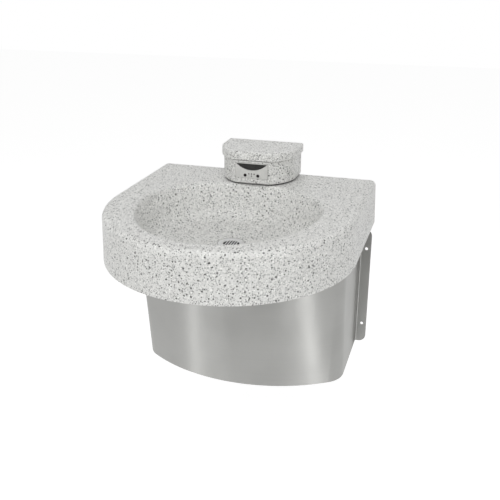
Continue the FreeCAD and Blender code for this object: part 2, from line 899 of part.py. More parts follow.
def drain_locknut():
    bore = shank_radius + thread_gap
    return hex_nut(locknut_flats, bore, on_drain(friction_z - locknut_height), on_drain(friction_z))


def tailpiece():
    """Tailpiece: a collar screwed into the shank, a flange on its end and a plain tube below."""
    collar = shank_bore - thread_gap
    bore = waste_radius - waste_wall
    end = trap_inlet_z - trap_leg - shank_low_z
    profile = [(bore, tail_collar), (collar, tail_collar), (collar, 0), (shank_radius, 0),
               (shank_radius, -tail_flange), (waste_radius, -tail_flange), (waste_radius, end), (bore, end)]
    return turned(profile, on_drain(shank_low_z), UP)


def trap_bend_piece():
    """U-bend of the trap, its mouths slipped over the tailpiece and the arm."""
    inlet = on_drain(trap_inlet_z)
    corners = [on_drain(trap_low_z), V(0, trap_outlet_y, trap_low_z)]
    outlet = V(0, trap_outlet_y, trap_outlet_z)
    return swept_tube(route([inlet] + corners + [outlet], trap_bend), trap_radius, trap_wall)


def trap_arm():
    """Trap arm: out of the U-bend, round to the back and through to the wall."""
    low = V(0, trap_outlet_y, trap_outlet_z - trap_leg)
    corner = V(0, trap_outlet_y, trap_arm_z)
    return swept_tube(route([low, corner, V(0, 0, trap_arm_z)], trap_arm_bend), waste_radius, waste_wall)


def trap_mouths():
    return [on_drain(trap_inlet_z), V(0, trap_outlet_y, trap_outlet_z)]


def trap_nuts():
    """Slip nuts: hexagons that reach down over the bend's mouths."""
    nuts = []
    for mouth in trap_mouths():
        low = mouth - UP * slip_nut_skirt
        inside = mouth + UP * slip_washer_thickness
        high = inside + UP * slip_nut_web
        nut = hex_bar(slip_nut_flats, low, high)
        nuts.append(nut.cut([rod(trap_radius + slip, low, inside), rod(waste_radius + slip, low, high)]))
    return group(nuts)


def trap_washers():
    bore = waste_radius + thread_gap
    rise = UP * slip_washer_thickness
    return group(ring(trap_radius, bore, mouth, mouth + rise) for mouth in trap_mouths())


def sheet_face(depth, corner, radius, z, offset):
    """One face of the folded sheet in plan, from the right wall flange round to the left one.

    Each side runs straight from the flange's bend to a corner arc, and one shallow arc of the
    given radius joins the corners. offset moves the line inward by the sheet's thickness."""
    front_y = radius - depth
    reach = radius - corner
    corner_x = skirt_half_width - corner
    corner_y = front_y - math.sqrt(reach ** 2 - corner_x ** 2)
    turn = math.atan2(front_y - corner_y, corner_x)
    bend_y = -sheet - skirt_bend
    bend_x = skirt_half_width + skirt_bend
    diagonal = (skirt_bend + offset) * math.sqrt(0.5)
    small = corner - offset
    right = [V(flange_half_width, offset - sheet, z), V(bend_x, offset - sheet, z)]
    right.append(V(bend_x - diagonal, bend_y + diagonal, z))
    right.append(V(skirt_half_width - offset, bend_y, z))
    right.append(V(skirt_half_width - offset, corner_y, z))
    for angle in (turn / 2, turn):
        right.append(V(corner_x + small * math.cos(angle), corner_y - small * math.sin(angle), z))
    left = [V(-p.x, p.y, p.z) for p in reversed(right)]
    nose = V(0, offset - depth, z)
    edges = [line(right[0], right[1]), arc(*right[1:4]), line(right[3], right[4]), arc(*right[4:])]
    edges.append(arc(right[-1], nose, left[0]))
    edges += [arc(*left[:3]), line(left[2], left[3]), arc(*left[3:6]), line(left[5], left[6])]
    return edges, right[0], left[-1]


def sheet_outline(depth, corner, radius, z):
    """Closed plan of the sheet: its outer face, its inner face and the flange edges."""
    outer, outer_right, outer_left = sheet_face(depth, corner, radius, z, 0)
    inner, inner_right, inner_left = sheet_face(depth, corner, radius, z, sheet)
    edges = outer + [line(outer_left, inner_left)] + inner[::-1] + [line(inner_right, outer_right)]
    return Part.Wire(edges)


def flange_hole_points(y):
    rows = [flange_middle_z + k * flange_hole_spacing / 2 for k in SIDES]
    return [V(side * flange_hole_x, y, z) for side in SIDES for z in rows]


def skirt():
    """Pipe skirt of folded steel sheet with wall flanges and tabs under the basin's lugs."""
    low = sheet_outline(skirt_low_depth, skirt_low_corner, skirt_low_radius, skirt_low_z)
    high = sheet_outline(skirt_top_depth, skirt_top_corner, skirt_top_radius, skirt_top_z)
    body = Part.makeLoft([low, high], True, True)
    front = sheet + skirt_bend
    middle = V(0, overlap, flange_middle_z)
    across = RIGHT * flange_half_width
    up = UP * (flange_height / 2)
    kept = rounded_slab(middle, across, up, flange_corner_radius, FRONT * (front + 2 * overlap))
    removed = []
    for side in SIDES:
        x = sorted((side * skirt_half_width, side * (flange_half_width + overlap)))
        region = block(V(x[0], -front, skirt_low_z - overlap), V(x[1], overlap, skirt_top_z + overlap))
        removed.append(region.cut(kept))
    for point in flange_hole_points(overlap):
        removed.append(rod(flange_hole_radius, point, point + FRONT * (sheet + 2 * overlap)))
    tabs = []
    for point in skirt_screw_points():
        middle = V(math.copysign(skirt_half_width - tab_length / 2 - sheet / 2, point.x), point.y, point.z)
        across = RIGHT * (tab_length / 2)
        tabs.append(rounded_slab(middle, across, BACK * (tab_width / 2), tab_corner_radius, -UP * sheet))
        below = point - UP * (sheet + overlap)
        removed.append(rod(skirt_screw_radius + bolt_gap, below, point + UP * overlap))
    return body.fuse(tabs).cut(removed).removeSplitter()


def skirt_screws():
    seats = [point - UP * sheet for point in skirt_screw_points()]
    return group(screw(skirt_screw_head_radius, skirt_screw_head_height, skirt_screw_radius,
                       skirt_screw_length, seat, UP) for seat in seats)


def wall_bracket(side):
    """Pressed bracket: wall leg, carrying leg and two webs with a hollowed edge."""
    low_z = bracket_top_z - bracket_drop
    outline = [V(0, 0, bracket_top_z), V(0, -bracket_reach, bracket_top_z)]
    outline.append(V(0, -bracket_reach, bracket_top_z - bracket_thickness))
    outline.append(V(0, -bracket_thickness, bracket_top_z - bracket_thickness))
    outline += [V(0, -bracket_thickness, low_z), V(0, 0, low_z)]
    left_x = side * bracket_x - bracket_width / 2
    legs = Part.Face(Part.makePolygon(outline + outline[:1])).extrude(RIGHT * bracket_width)
    legs.translate(V(left_x, 0, 0))
    heel = V(0, 0, bracket_top_z)
    toe = [V(0, -bracket_reach, bracket_top_z), V(0, -bracket_reach, bracket_top_z - bracket_nose)]
    foot = [V(0, -bracket_nose, low_z), V(0, 0, low_z)]
    chord = foot[0] - toe[1]
    sag = bracket_web_radius - math.sqrt(bracket_web_radius ** 2 - (chord.Length / 2) ** 2)
    hollow = (toe[1] + foot[0]) / 2 + V(0, -chord.z, chord.y).normalize() * sag
    edges = [line(heel, toe[0]), line(toe[0], toe[1]), arc(toe[1], hollow, foot[0])]
    edges += [line(foot[0], foot[1]), line(foot[1], heel)]
    webs = []
    for x in (left_x, left_x + bracket_width - bracket_web):
        web = Part.Face(Part.Wire(edges)).extrude(RIGHT * bracket_web)
        web.translate(V(x, 0, 0))
        webs.append(web)
    holes = []
    for k in SIDES:
        point = V(side * bracket_x, overlap, k * wall_bolt_spacing / 2)
        holes.append(rod(wall_bolt_radius, point, point + FRONT * (bracket_thickness + 2 * overlap)))
    for y in bracket_bolt_ys:
        point = V(side * bracket_x, -y, bracket_top_z + overlap)
        below = point - UP * (bracket_thickness + 2 * overlap)
        holes.append(rod(bracket_bolt_radius + bolt_gap, point, below))
    rail_hole = V(side * rail_half, -rail_front - rail_ear / 2, 0)
    start = rail_hole - RIGHT * (side * overlap)
    end = start + RIGHT * (side * (bracket_web + 2 * overlap))
    holes.append(rod(rail_screw_radius + thread_gap, start, end))
    return legs.fuse(webs).cut(holes).removeSplitter()


def bracket_bolts():
    bolts = []
    for point in bracket_bolt_points():
        seat = point - UP * (bracket_thickness + bracket_washer_thickness)
        head = hex_bar(bracket_bolt_flats, seat - UP * bracket_bolt_head, seat)
        bolts.append(head.fuse(rod(bracket_bolt_radius, seat, seat + UP * bracket_bolt_length)))
    return group(bolts)


def bracket_washers():
    washers = []
    for point in bracket_bolt_points():
        top = point - UP * bracket_thickness
        low = top - UP * bracket_washer_thickness
        washers.append(ring(bracket_washer_radius, bracket_bolt_radius + bolt_gap, low, top))
    return group(washers)


def support_rail():
    """Rail of folded sheet between the brackets, an ear at each end against a web."""
    half = rail_height / 2
    body = block(V(-rail_half, -rail_front, -half), V(rail_half, -rail_gap, half))
    holes = []
    ears = []
    for side in SIDES:
        x = sorted((side * rail_half, side * (rail_half - rail_thickness)))
        ears.append(block(V(x[0], -rail_front - rail_ear, -half), V(x[1], -rail_gap, half)))
        start = V(side * (rail_half + overlap), -rail_front - rail_ear / 2, 0)
        end = start - RIGHT * (side * (rail_thickness + 2 * overlap))
        holes.append(rod(rail_screw_radius + bolt_gap, start, end))
    for point in strap_screw_points(overlap - rail_gap):
        front = point + FRONT * (rail_thickness + 2 * overlap)
        holes.append(rod(strap_screw_radius + thread_gap, point, front))
    return body.fuse(ears).cut(holes).removeSplitter()


def rail_screws():
    screws = []
    for side in SIDES:
        seat = V(side * (rail_half - rail_thickness), -rail_front - rail_ear / 2, 0)
        screws.append(screw(rail_screw_head_radius, rail_screw_head_height, rail_screw_radius,
                            rail_screw_length, seat, RIGHT * side))
    return group(screws)


def strap_screw_points(y):
    reach = mixer_radius + slip + strap_ear / 2 + strap_wall / 2
    return [V(side * reach, y, 0) for side in SIDES]


def strap_half():
    return mixer_radius + slip + strap_ear + strap_wall / 2


def valve_saddle():
    """Saddle between the rail and the mixing valve, hollowed to the valve's round body."""
    half = strap_half()
    low = V(-half, -service_y, -strap_half_height)
    body = block(low, V(half, -rail_front, strap_half_height))
    axis = V(0, -service_y, -strap_half_height - overlap)
    holes = [rod(mixer_radius + slip, axis, axis + UP * (2 * strap_half_height + 2 * overlap))]
    for point in strap_screw_points(overlap - rail_front):
        holes.append(rod(strap_screw_radius + bolt_gap, point, point + FRONT * service_y))
    return body.cut(holes)


def valve_strap():
    """Strap that holds the mixing valve to its saddle: a half ring with two ears."""
    low = -strap_half_height
    axis = V(0, -service_y, low)
    height = UP * (2 * strap_half_height)
    half = strap_half()
    hoop = rod(mixer_radius + slip + strap_wall, axis, axis + height)
    reach = mixer_radius + strap_wall + overlap
    hoop = hoop.common(block(V(-half, -service_y - reach, low), V(half, -service_y, -low)))
    ears = block(V(-half, -service_y - strap_ear_thickness, low), V(half, -service_y, -low))
    holes = [rod(mixer_radius + slip, axis - UP * overlap, axis + height + UP * overlap)]
    for point in strap_screw_points(overlap - service_y):
        front = point + FRONT * (strap_ear_thickness + 2 * overlap)
        holes.append(rod(strap_screw_radius + bolt_gap, point, front))
    return hoop.fuse(ears).cut(holes).removeSplitter()


def strap_screws():
    """Long screws through strap and saddle into the rail."""
    length = service_y + strap_ear_thickness - rail_gap
    seats = strap_screw_points(-service_y - strap_ear_thickness)
    return group(screw(strap_screw_head_radius, strap_screw_head_height, strap_screw_radius,
                       length, seat, BACK) for seat in seats)


def stop_point(side, y, z):
    return V(side * stop_x, -y, z)


def stop_body(side):
    """Angle stop: hexagon collar at the wall, round body and a spout that turns up."""
    wall = stop_point(side, 0, stop_z)
    front = stop_point(side, stop_body_length, stop_z)
    body = hex_bar(stop_collar_flats, wall, stop_point(side, stop_collar_length, stop_z))
    spout_low = stop_point(side, service_y, stop_z)
    spout = rod(stop_outlet_radius, spout_low, stop_point(side, service_y, stop_spout_z))
    body = body.fuse([rod(stop_body_radius, wall, front), spout])
    socket = stop_point(side, service_y, stop_spout_z - socket_depth)
    holes = [rod(stop_pipe_radius, wall, wall + FRONT * stop_pipe_depth)]
    holes.append(rod(tube_radius + slip, socket, socket + UP * (socket_depth + overlap)))
    holes.append(rod(stop_spindle_radius + run_gap, front, front + BACK * (stop_spindle_seat + slip)))
    return body.cut(holes).removeSplitter()


def stop_bonnets():
    bonnets = []
    for side in SIDES:
        back = stop_point(side, stop_body_length, stop_z)
        front = back + FRONT * stop_bonnet_length
        bonnets.append(hex_nut(stop_bonnet_flats, stop_spindle_radius + run_gap, back, front))
    return group(bonnets)


def stop_spindle(side):
    start = stop_point(side, stop_body_length - stop_spindle_seat, stop_z)
    return rod(stop_spindle_radius, start, start + FRONT * stop_spindle_length)


def stop_handle(side):
    """Oval quarter-turn handle with soft edges, pressed over the spindle's end."""
    front = stop_body_length - stop_spindle_seat + stop_spindle_length + stop_handle_end
    middle = stop_point(side, front, stop_z)
    oval = Part.Ellipse(middle + UP * stop_handle_long, middle + RIGHT * stop_handle_short, middle)
    body = Part.Face(Part.Wire(oval.toShape())).extrude(BACK * stop_handle_thickness)
    body = body.makeFillet(stop_handle_radius, body.Edges)
    bore = stop_handle_thickness - stop_handle_end
    return body.cut(rod(stop_spindle_radius + run_gap, middle + BACK * stop_handle_end,
                        middle + BACK * (stop_handle_end + bore)))


def supply_tube(side):
    """Rigid tube from a stop's spout up and inward to the mixing valve."""
    low = stop_point(side, service_y, stop_spout_z - socket_depth)
    corner = stop_point(side, service_y, mixer_inlet_z)
    end = V(side * (mixer_inlet_half - socket_depth), -service_y, mixer_inlet_z)
    return swept_tube(route([low, corner, end], tube_bend), tube_radius, tube_wall)


def compression_nuts():
    """Nuts on the rigid tubes, each seated against the mouth of its socket."""
    seats = [(V(0, -service_y, solenoid_top_z), UP), (V(0, -spigot_mouth, spigot_z), BACK)]
    for side in SIDES:
        seats.append((stop_point(side, service_y, stop_spout_z), UP))
        seats.append((V(side * mixer_inlet_half, -service_y, mixer_inlet_z), RIGHT * side))
    bore = tube_radius + slip
    return group(hex_nut(nut_flats, bore, seat, seat + axis * nut_length) for seat, axis in seats)


def mixing_valve_body():
    """Mixing valve: upright round body, an inlet each side and a boss for the bonnet."""
    low = V(0, -service_y, mixer_top - mixer_length)
    top = V(0, -service_y, mixer_top)
    body = rod(mixer_radius, low, top)
    body = body.makeFillet(mixer_edge_radius, level_edges(body, low.z))
    left = V(-mixer_inlet_half, -service_y, mixer_inlet_z)
    right = V(mixer_inlet_half, -service_y, mixer_inlet_z)
    centre = V(0, -service_y, mixer_inlet_z)
    boss = V(0, mixer_boss_y, mixer_inlet_z)
    body = body.fuse([rod(mixer_inlet_radius, left, right), rod(mixer_boss_radius, centre, boss)])
    holes = [rod(tube_radius + slip, left, left + RIGHT * socket_depth)]
    holes.append(rod(tube_radius + slip, right, right - RIGHT * socket_depth))
    holes.append(rod(spindle_radius + run_gap, boss, boss + BACK * (spindle_seat + slip)))
    return body.cut(holes).removeSplitter()


def mixing_valve_bonnet():
    boss = V(0, mixer_boss_y, mixer_inlet_z)
    return hex_nut(mixer_bonnet_flats, spindle_radius + run_gap, boss, boss + FRONT * mixer_bonnet_length)


def temperature_spindle():
    """Spindle that sets the mixed temperature, with a hexagon for a key."""
    start = V(0, mixer_boss_y + spindle_seat, mixer_inlet_z)
    key = start + FRONT * (spindle_seat + mixer_bonnet_length + spindle_stand)
    hexagon = hex_bar(spindle_key_flats, key, key + FRONT * spindle_key_length)
    return rod(spindle_radius, start, key).fuse(hexagon)


def solenoid_point(y):
    return V(0, y, solenoid_axis_z)


def solenoid_body():
    """Solenoid valve body: upright round body with a boss towards the front."""
    low = V(0, -service_y, mixer_top)
    top = V(0, -service_y, solenoid_top_z)
    body = rod(solenoid_radius, low, top)
    body = body.fuse(rod(solenoid_boss_radius, solenoid_point(-service_y), solenoid_point(solenoid_boss_y)))
    holes = [rod(tube_radius + slip, top, top - UP * socket_depth)]
    seat = solenoid_point(solenoid_boss_y + sleeve_seat)
    holes.append(rod(sleeve_radius, seat, seat + FRONT * (sleeve_seat + overlap)))
    return body.cut(holes).removeSplitter()


def solenoid_sleeve():
    """Guide sleeve of the plunger, closed at its front end."""
    seat = solenoid_point(solenoid_boss_y + sleeve_seat)
    bore = sleeve_radius - sleeve_wall
    return rod(sleeve_radius, seat, seat + FRONT * sleeve_length).cut(
        rod(bore, seat, seat + FRONT * (sleeve_length - sleeve_end)))


def solenoid_plunger():
    start = solenoid_point(solenoid_boss_y + sleeve_seat)
    return rod(sleeve_radius - sleeve_wall - run_gap, start, start + FRONT * plunger_length)


def plunger_spring():
    """Return spring between the plunger and the sleeve's end, as its outer shape."""
    start = solenoid_point(solenoid_boss_y + sleeve_seat - plunger_length)
    end = solenoid_point(solenoid_boss_y + sleeve_seat - sleeve_length + sleeve_end)
    outer = sleeve_radius - sleeve_wall - slip
    return ring(outer, outer - spring_wall, start, end)


def solenoid_coil():
    """Encapsulated coil, a block with round edges, on the sleeve."""
    middle = solenoid_point(solenoid_boss_y)
    across = RIGHT * coil_half
    body = rounded_slab(middle, across, UP * coil_half, coil_corner_radius, FRONT * coil_length)
    return body.cut(rod(sleeve_radius + slip, middle, middle + FRONT * coil_length))


def coil_nut():
    start = solenoid_point(solenoid_boss_y - coil_length)
    end = solenoid_point(solenoid_boss_y + sleeve_seat - sleeve_length)
    return hex_nut(coil_nut_flats, sleeve_radius + thread_gap, start, end)


def box_slab(grow, front, thickness):
    """Upright slab of the control box's outline."""
    centre = V(box_right - box_width / 2, -front, box_height / 2 - box_low)
    across = RIGHT * (box_width / 2 + grow)
    up = UP * (box_height / 2 + grow)
    return rounded_slab(centre, across, up, box_corner_radius + grow, BACK * thickness)


def control_box():
    return box_slab(0, rail_front + box_depth, box_depth)


def control_cover():
    return box_slab(box_cover_lip, rail_front + box_depth + box_cover_thickness, box_cover_thickness)


os.makedirs("parts", exist_ok=True)
parts = {
    "basin": basin(),
    "bracket_inserts": bracket_inserts(),
    "skirt_inserts": skirt_inserts(),
    "head_body": head_body(),
    "head_lid": head_lid(),
    "head_gasket": head_gasket(),
    "head_studs": head_studs(),
    "head_washers": head_washers(),
    "head_nuts": head_nuts(),
    "face_plate": face_plate(),
    "plate_nuts": plate_nuts(),
    "spray_outlet": spray_outlet(),
    "sensor_module": sensor_module(),
    "sensor_lenses": domes(eye_points(head_depth), eye_radius),
    "indicator_lights": domes(dot_points(head_depth), dot_radius),
    "outlet_tube": outlet_tube(),
    "tube_grommet": tube_grommet(),
    "drain_strainer": drain_strainer(),
    "drain_seal": drain_seal(),
    "drain_washer": drain_washer(),
    "drain_friction_ring": drain_friction_ring(),
    "drain_locknut": drain_locknut(),
    "tailpiece": tailpiece(),
    "trap_bend": trap_bend_piece(),
    "trap_arm": trap_arm(),
    "trap_nuts": trap_nuts(),
    "trap_washers": trap_washers(),
    "skirt": skirt(),
    "skirt_screws": skirt_screws(),
    "wall_bracket_left": wall_bracket(-1),
    "wall_bracket_right": wall_bracket(1),
    "bracket_bolts": bracket_bolts(),
    "bracket_washers": bracket_washers(),
    "support_rail": support_rail(),
    "rail_screws": rail_screws(),
    "hot_stop_body": stop_body(-1),
    "cold_stop_body": stop_body(1),
    "stop_bonnets": stop_bonnets(),
    "hot_stop_spindle": stop_spindle(-1),
    "cold_stop_spindle": stop_spindle(1),
    "hot_stop_handle": stop_handle(-1),
    "cold_stop_handle": stop_handle(1),
    "hot_supply_tube": supply_tube(-1),
    "cold_supply_tube": supply_tube(1),
    "compression_nuts": compression_nuts(),
    "mixing_valve_body": mixing_valve_body(),
    "mixing_valve_bonnet": mixing_valve_bonnet(),
    "temperature_spindle": temperature_spindle(),
    "valve_saddle": valve_saddle(),
    "valve_strap": valve_strap(),
    "strap_screws": strap_screws(),
    "solenoid_body": solenoid_body(),
    "solenoid_sleeve": solenoid_sleeve(),
    "solenoid_plunger": solenoid_plunger(),
    "plunger_spring": plunger_spring(),
    "solenoid_coil": solenoid_coil(),
    "coil_nut": coil_nut(),
    "control_box": control_box(),
    "control_cover": control_cover(),
}
for name, shape in parts.items():
    shape.exportStep("parts/" + name + ".step")
    print(name, len(shape.Solids), "solids", round(shape.Volume / 1000, 2), "cm3", shape.isValid())
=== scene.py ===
# %% [markdown]
# # A wall-hung wash basin that offers nothing to tie a cord to
# The real object is a U-shaped basin cast in speckled solid surface, with a closed control head on its back
# deck and a folded stainless skirt that hides the pipes. The solids of every piece already exist at their
# real size, so this lesson dresses them: light first, then finishes, then the small turned, threaded and
# wound pieces whose shape is a formula. The frame is in metres; sizes are written in millimetres, and MM
# turns them into metres.

# %% Load the frame
import math
import bmesh
import bpy
import numpy as np
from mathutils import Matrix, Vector


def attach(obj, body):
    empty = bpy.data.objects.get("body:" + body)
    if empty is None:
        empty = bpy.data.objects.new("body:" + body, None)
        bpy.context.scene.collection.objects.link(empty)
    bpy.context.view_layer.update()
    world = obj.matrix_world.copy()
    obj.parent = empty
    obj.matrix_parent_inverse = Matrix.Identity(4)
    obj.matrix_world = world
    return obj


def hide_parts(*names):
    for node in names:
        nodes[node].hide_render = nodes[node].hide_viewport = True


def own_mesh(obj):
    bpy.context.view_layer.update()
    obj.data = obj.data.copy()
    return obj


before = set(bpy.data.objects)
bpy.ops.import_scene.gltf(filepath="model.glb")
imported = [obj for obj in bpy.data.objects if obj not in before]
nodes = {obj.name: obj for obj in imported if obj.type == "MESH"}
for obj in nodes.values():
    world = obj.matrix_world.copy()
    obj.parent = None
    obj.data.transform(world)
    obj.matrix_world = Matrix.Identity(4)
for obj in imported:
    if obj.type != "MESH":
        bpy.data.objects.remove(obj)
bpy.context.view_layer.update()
MM = 0.001

# %% [markdown]
# ## Camera
# A product picture like this is taken from the right and a little above, with a short telephoto lens that
# keeps the front apron from bulging. A camera can be turned by three angles, but those are hard to read, so
# this one is given by where it stands and by the point that it looks at, near the middle of the skirt's
# top. Both were found by laying the outline of the solids over the outline in the picture.

# %% Place the camera
CAMERA_PLACE = Vector((514.2, -1814.6, 642.9)) * MM
CAMERA_AIM = Vector((31.8, -250.0, -21.7)) * MM
CAMERA_LENS = 51.2
SENSOR_WIDTH = 36.0

camera = bpy.data.objects.new("camera", bpy.data.cameras.new("camera"))
bpy.context.scene.collection.objects.link(camera)
camera.data.sensor_width = SENSOR_WIDTH
camera.data.lens = CAMERA_LENS
camera.location = CAMERA_PLACE
camera.rotation_mode = "QUATERNION"
camera.rotation_quaternion = (CAMERA_AIM - CAMERA_PLACE).to_track_quat("-Z", "Y")
bpy.context.scene.camera = camera
bpy.context.scene.view_settings.view_transform = "Standard"
print("camera:", round((CAMERA_AIM - CAMERA_PLACE).length, 3), "m from its aim")

# %% [markdown]
# ## Node helpers
# A material is a small graph. Writing every node and every wire by hand hides the idea behind the typing,
# so one helper puts a node into a tree: plain settings go on the node, and each input takes a value or a
# wire. A few more name the nodes that come up most: a sum, a change of range, a blend of two colours.

# %% Put a node in a tree
def put(tree, kind, inputs=None, **settings):
    """Add one node, set its own settings, and give each named input a value or a link."""
    node = tree.nodes.new("ShaderNode" + kind)
    for name, value in settings.items():
        setattr(node, name, value)
    for name, value in (inputs or {}).items():
        if isinstance(value, bpy.types.NodeSocket):
            tree.links.new(value, node.inputs[name])
        else:
            node.inputs[name].default_value = value
    return node


def calculate(tree, operation, first, second=0.0):
    """One sum on two values or links."""
    return put(tree, "Math", {0: first, 1: second}, operation=operation).outputs[0]


def rescale(tree, value, low, high, to_low, to_high, soft=False):
    """Stretch low..high of a value to to_low..to_high and hold it there, with soft ends if asked."""
    kind = "SMOOTHSTEP" if soft else "LINEAR"
    limits = {"Value": value, "From Min": low, "From Max": high, "To Min": to_low, "To Max": to_high}
    return put(tree, "MapRange", limits, interpolation_type=kind).outputs["Result"]


def blend_colours(tree, share, first, second):
    """Mix two colours, given as values or links, by a share."""
    return put(tree, "Mix", {0: share, 6: first, 7: second}, data_type="RGBA").outputs[2]


def tint(red, green, blue):
    """An opaque colour."""
    return (red, green, blue, 1.0)


def grey(value):
    """A neutral colour of one brightness."""
    return tint(value, value, value)


print("node helpers ready")

# %% [markdown]
# ## Floor and backdrop
# The picture has a clean white surround. Brighter lamps would give that too, but they would burn out the
# pale basin, so the white comes from the surround itself: the world and the floor look white to rays that
# come from the camera, a mirror or a glass, and give only a moderate light to matt surfaces. The floor
# stays a real matt surface under that glow, so it still shows the soft shadow of the object.

# %% Build the floor and the world
FLOOR_Z = -755.0 * MM
FLOOR_HALF = 9000.0 * MM
FLOOR_TONE = grey(0.82)
FLOOR_GLOW = 0.60
WORLD_FILL = 0.46
WHITE = grey(1.0)


def seen_directly(tree):
    """One for camera, mirror and glass rays, nothing for the light that matt surfaces gather."""
    path = put(tree, "LightPath").outputs
    mirror = calculate(tree, "MAXIMUM", path["Is Glossy Ray"], path["Is Transmission Ray"])
    return calculate(tree, "MAXIMUM", path["Is Camera Ray"], mirror)


def floor_material():
    """A matt pale floor with a glow that only the camera, mirrors and glass see."""
    material = bpy.data.materials.new("studio_floor")
    material.use_nodes = True
    tree = material.node_tree
    tree.nodes.clear()
    matt = put(tree, "BsdfDiffuse", {"Color": FLOOR_TONE}).outputs[0]
    strength = calculate(tree, "MULTIPLY", seen_directly(tree), FLOOR_GLOW)
    glow = put(tree, "Emission", {"Color": WHITE, "Strength": strength}).outputs[0]
    both = put(tree, "AddShader", {0: matt, 1: glow}).outputs[0]
    put(tree, "OutputMaterial", {"Surface": both})
    return material


def studio_world():
    """White to the eye, to mirrors and through glass, a softer grey fill for matt surfaces."""
    world = bpy.data.worlds.new("studio")
    world.use_nodes = True
    tree = world.node_tree
    tree.nodes.clear()
    strength = rescale(tree, seen_directly(tree), 0.0, 1.0, WORLD_FILL, 1.0)
    sky = put(tree, "Background", {"Color": WHITE, "Strength": strength}).outputs[0]
    put(tree, "OutputWorld", {"Surface": sky})
    return world


corners = np.array([(-1, -1, 0), (1, -1, 0), (1, 1, 0), (-1, 1, 0)]) * FLOOR_HALF + (0, 0, FLOOR_Z)
floor_mesh = bpy.data.meshes.new("studio_floor")
floor_mesh.from_pydata(corners.tolist(), [], [(0, 1, 2, 3)])
floor_mesh.materials.append(floor_material())
floor = bpy.data.objects.new("studio_floor", floor_mesh)
bpy.context.scene.collection.objects.link(floor)
bpy.context.scene.world = studio_world()
print("floor at", FLOOR_Z, "m")

# %% [markdown]
# ## Lamps
# The steel skirt shows two bright upright bands that fade slowly towards the middle, so the studio had a
# narrow strip low on each side with a wider, weaker wing beside it. The even light on the basin says that
# soft boxes hung high, with a weak one in front. A picture of a studio wrapped round the scene could give
# the same, but lamps can be moved one by one. Each is given by its direction and by the level at which it
# alone lights a white surface, which is easier to judge than watts: the watts are the level times the
# square of pi times the distance.

# %% Hang the soft boxes
LAMP_AIM = Vector((0.0, -300.0, 0.0)) * MM
LAMP_DISTANCE = 2400.0 * MM
# name: azimuth from the front towards the right and elevation in degrees, width and height in metres, level
SOFT_BOXES = {
    "left_strip": (-45.0, 5.0, 0.3, 1.4, 0.10),
    "right_strip": (48.5, 5.0, 0.3, 1.4, 0.15),
    "left_wing": (-28.0, 8.0, 0.8, 1.4, 0.05),
    "right_wing": (34.0, 8.0, 0.6, 1.4, 0.04),
    "front_box": (8.0, 22.0, 1.4, 1.0, 0.035),
    "high_left_box": (-20.0, 65.0, 1.4, 1.0, 0.16),
    "high_right_box": (30.0, 65.0, 1.4, 1.0, 0.15),
}


def hang_soft_box(name, azimuth, elevation, width, height, level):
    """An area lamp that faces the object from a direction given in degrees."""
    lamp = bpy.data.lights.new(name, "AREA")
    lamp.shape = "RECTANGLE"
    lamp.size = width
    lamp.size_y = height
    lamp.energy = level * (math.pi * LAMP_DISTANCE) ** 2
    turn, rise = math.radians(azimuth), math.radians(elevation)
    way = Vector((math.sin(turn) * math.cos(rise), -math.cos(turn) * math.cos(rise), math.sin(rise)))
    box = bpy.data.objects.new(name, lamp)
    box.location = LAMP_AIM + way * LAMP_DISTANCE
    box.rotation_mode = "QUATERNION"
    box.rotation_quaternion = (-way).to_track_quat("-Z", "Y")
    bpy.context.scene.collection.objects.link(box)


for name, settings in SOFT_BOXES.items():
    hang_soft_box(name, *settings)
print("lamps:", ", ".join(SOFT_BOXES))

# %% [markdown]
# ## Shared effects
# Several finishes share an effect: chips cast into a resin, the fine lines of a brushing belt, the slow
# clouds of a handled surface, the fine grit of a cast or moulded skin. Each could be wired anew in every
# material, but as one shader group with named inputs it is built once, and a material only says how large
# and how strong. The groups read the place of a point on the piece, so the pattern runs through the solid
# like the real one does.

# %% Start a shader group
def new_group(name, inputs, outputs):
    """An empty shader group: inputs are name to default value, outputs are names of plain values."""
    tree = bpy.data.node_groups.new(name, "ShaderNodeTree")
    tree.interface.new_socket(name="Place", in_out="INPUT", socket_type="NodeSocketVector")
    for label, default in inputs.items():
        socket = tree.interface.new_socket(name=label, in_out="INPUT", socket_type="NodeSocketFloat")
        socket.default_value = default
    for label in outputs:
        tree.interface.new_socket(name=label, in_out="OUTPUT", socket_type="NodeSocketFloat")
    entry = tree.nodes.new("NodeGroupInput")
    leave = tree.nodes.new("NodeGroupOutput")
    return tree, entry.outputs, leave.inputs


def use_group(tree, group, place, **values):
    """Put a shared group into a material's tree; values name its inputs in small letters."""
    node = put(tree, "Group", node_tree=group)
    tree.links.new(place, node.inputs["Place"])
    for name, value in values.items():
        node.inputs[name.capitalize()].default_value = value
    return node.outputs


print("shader group helpers ready")

# %% [markdown]
# ### Cast chips
# Solid surface is a resin with crushed chips stirred in. A picture of chips would stretch over the rolled
# rim and show its seams, so the chips are worked out in space. Voronoi cells scatter one chip in each cell:
# a chip is where the distance to the cell's middle is less than a radius drawn for that cell. Shaking the
# place with noise first makes the rims ragged, because crushed stone isn't round.

# %% Chips stirred into resin
SHAKES_PER_CELL = 2.3
SMALLEST_CHIP = 0.4
CHIP_CORE = 0.8


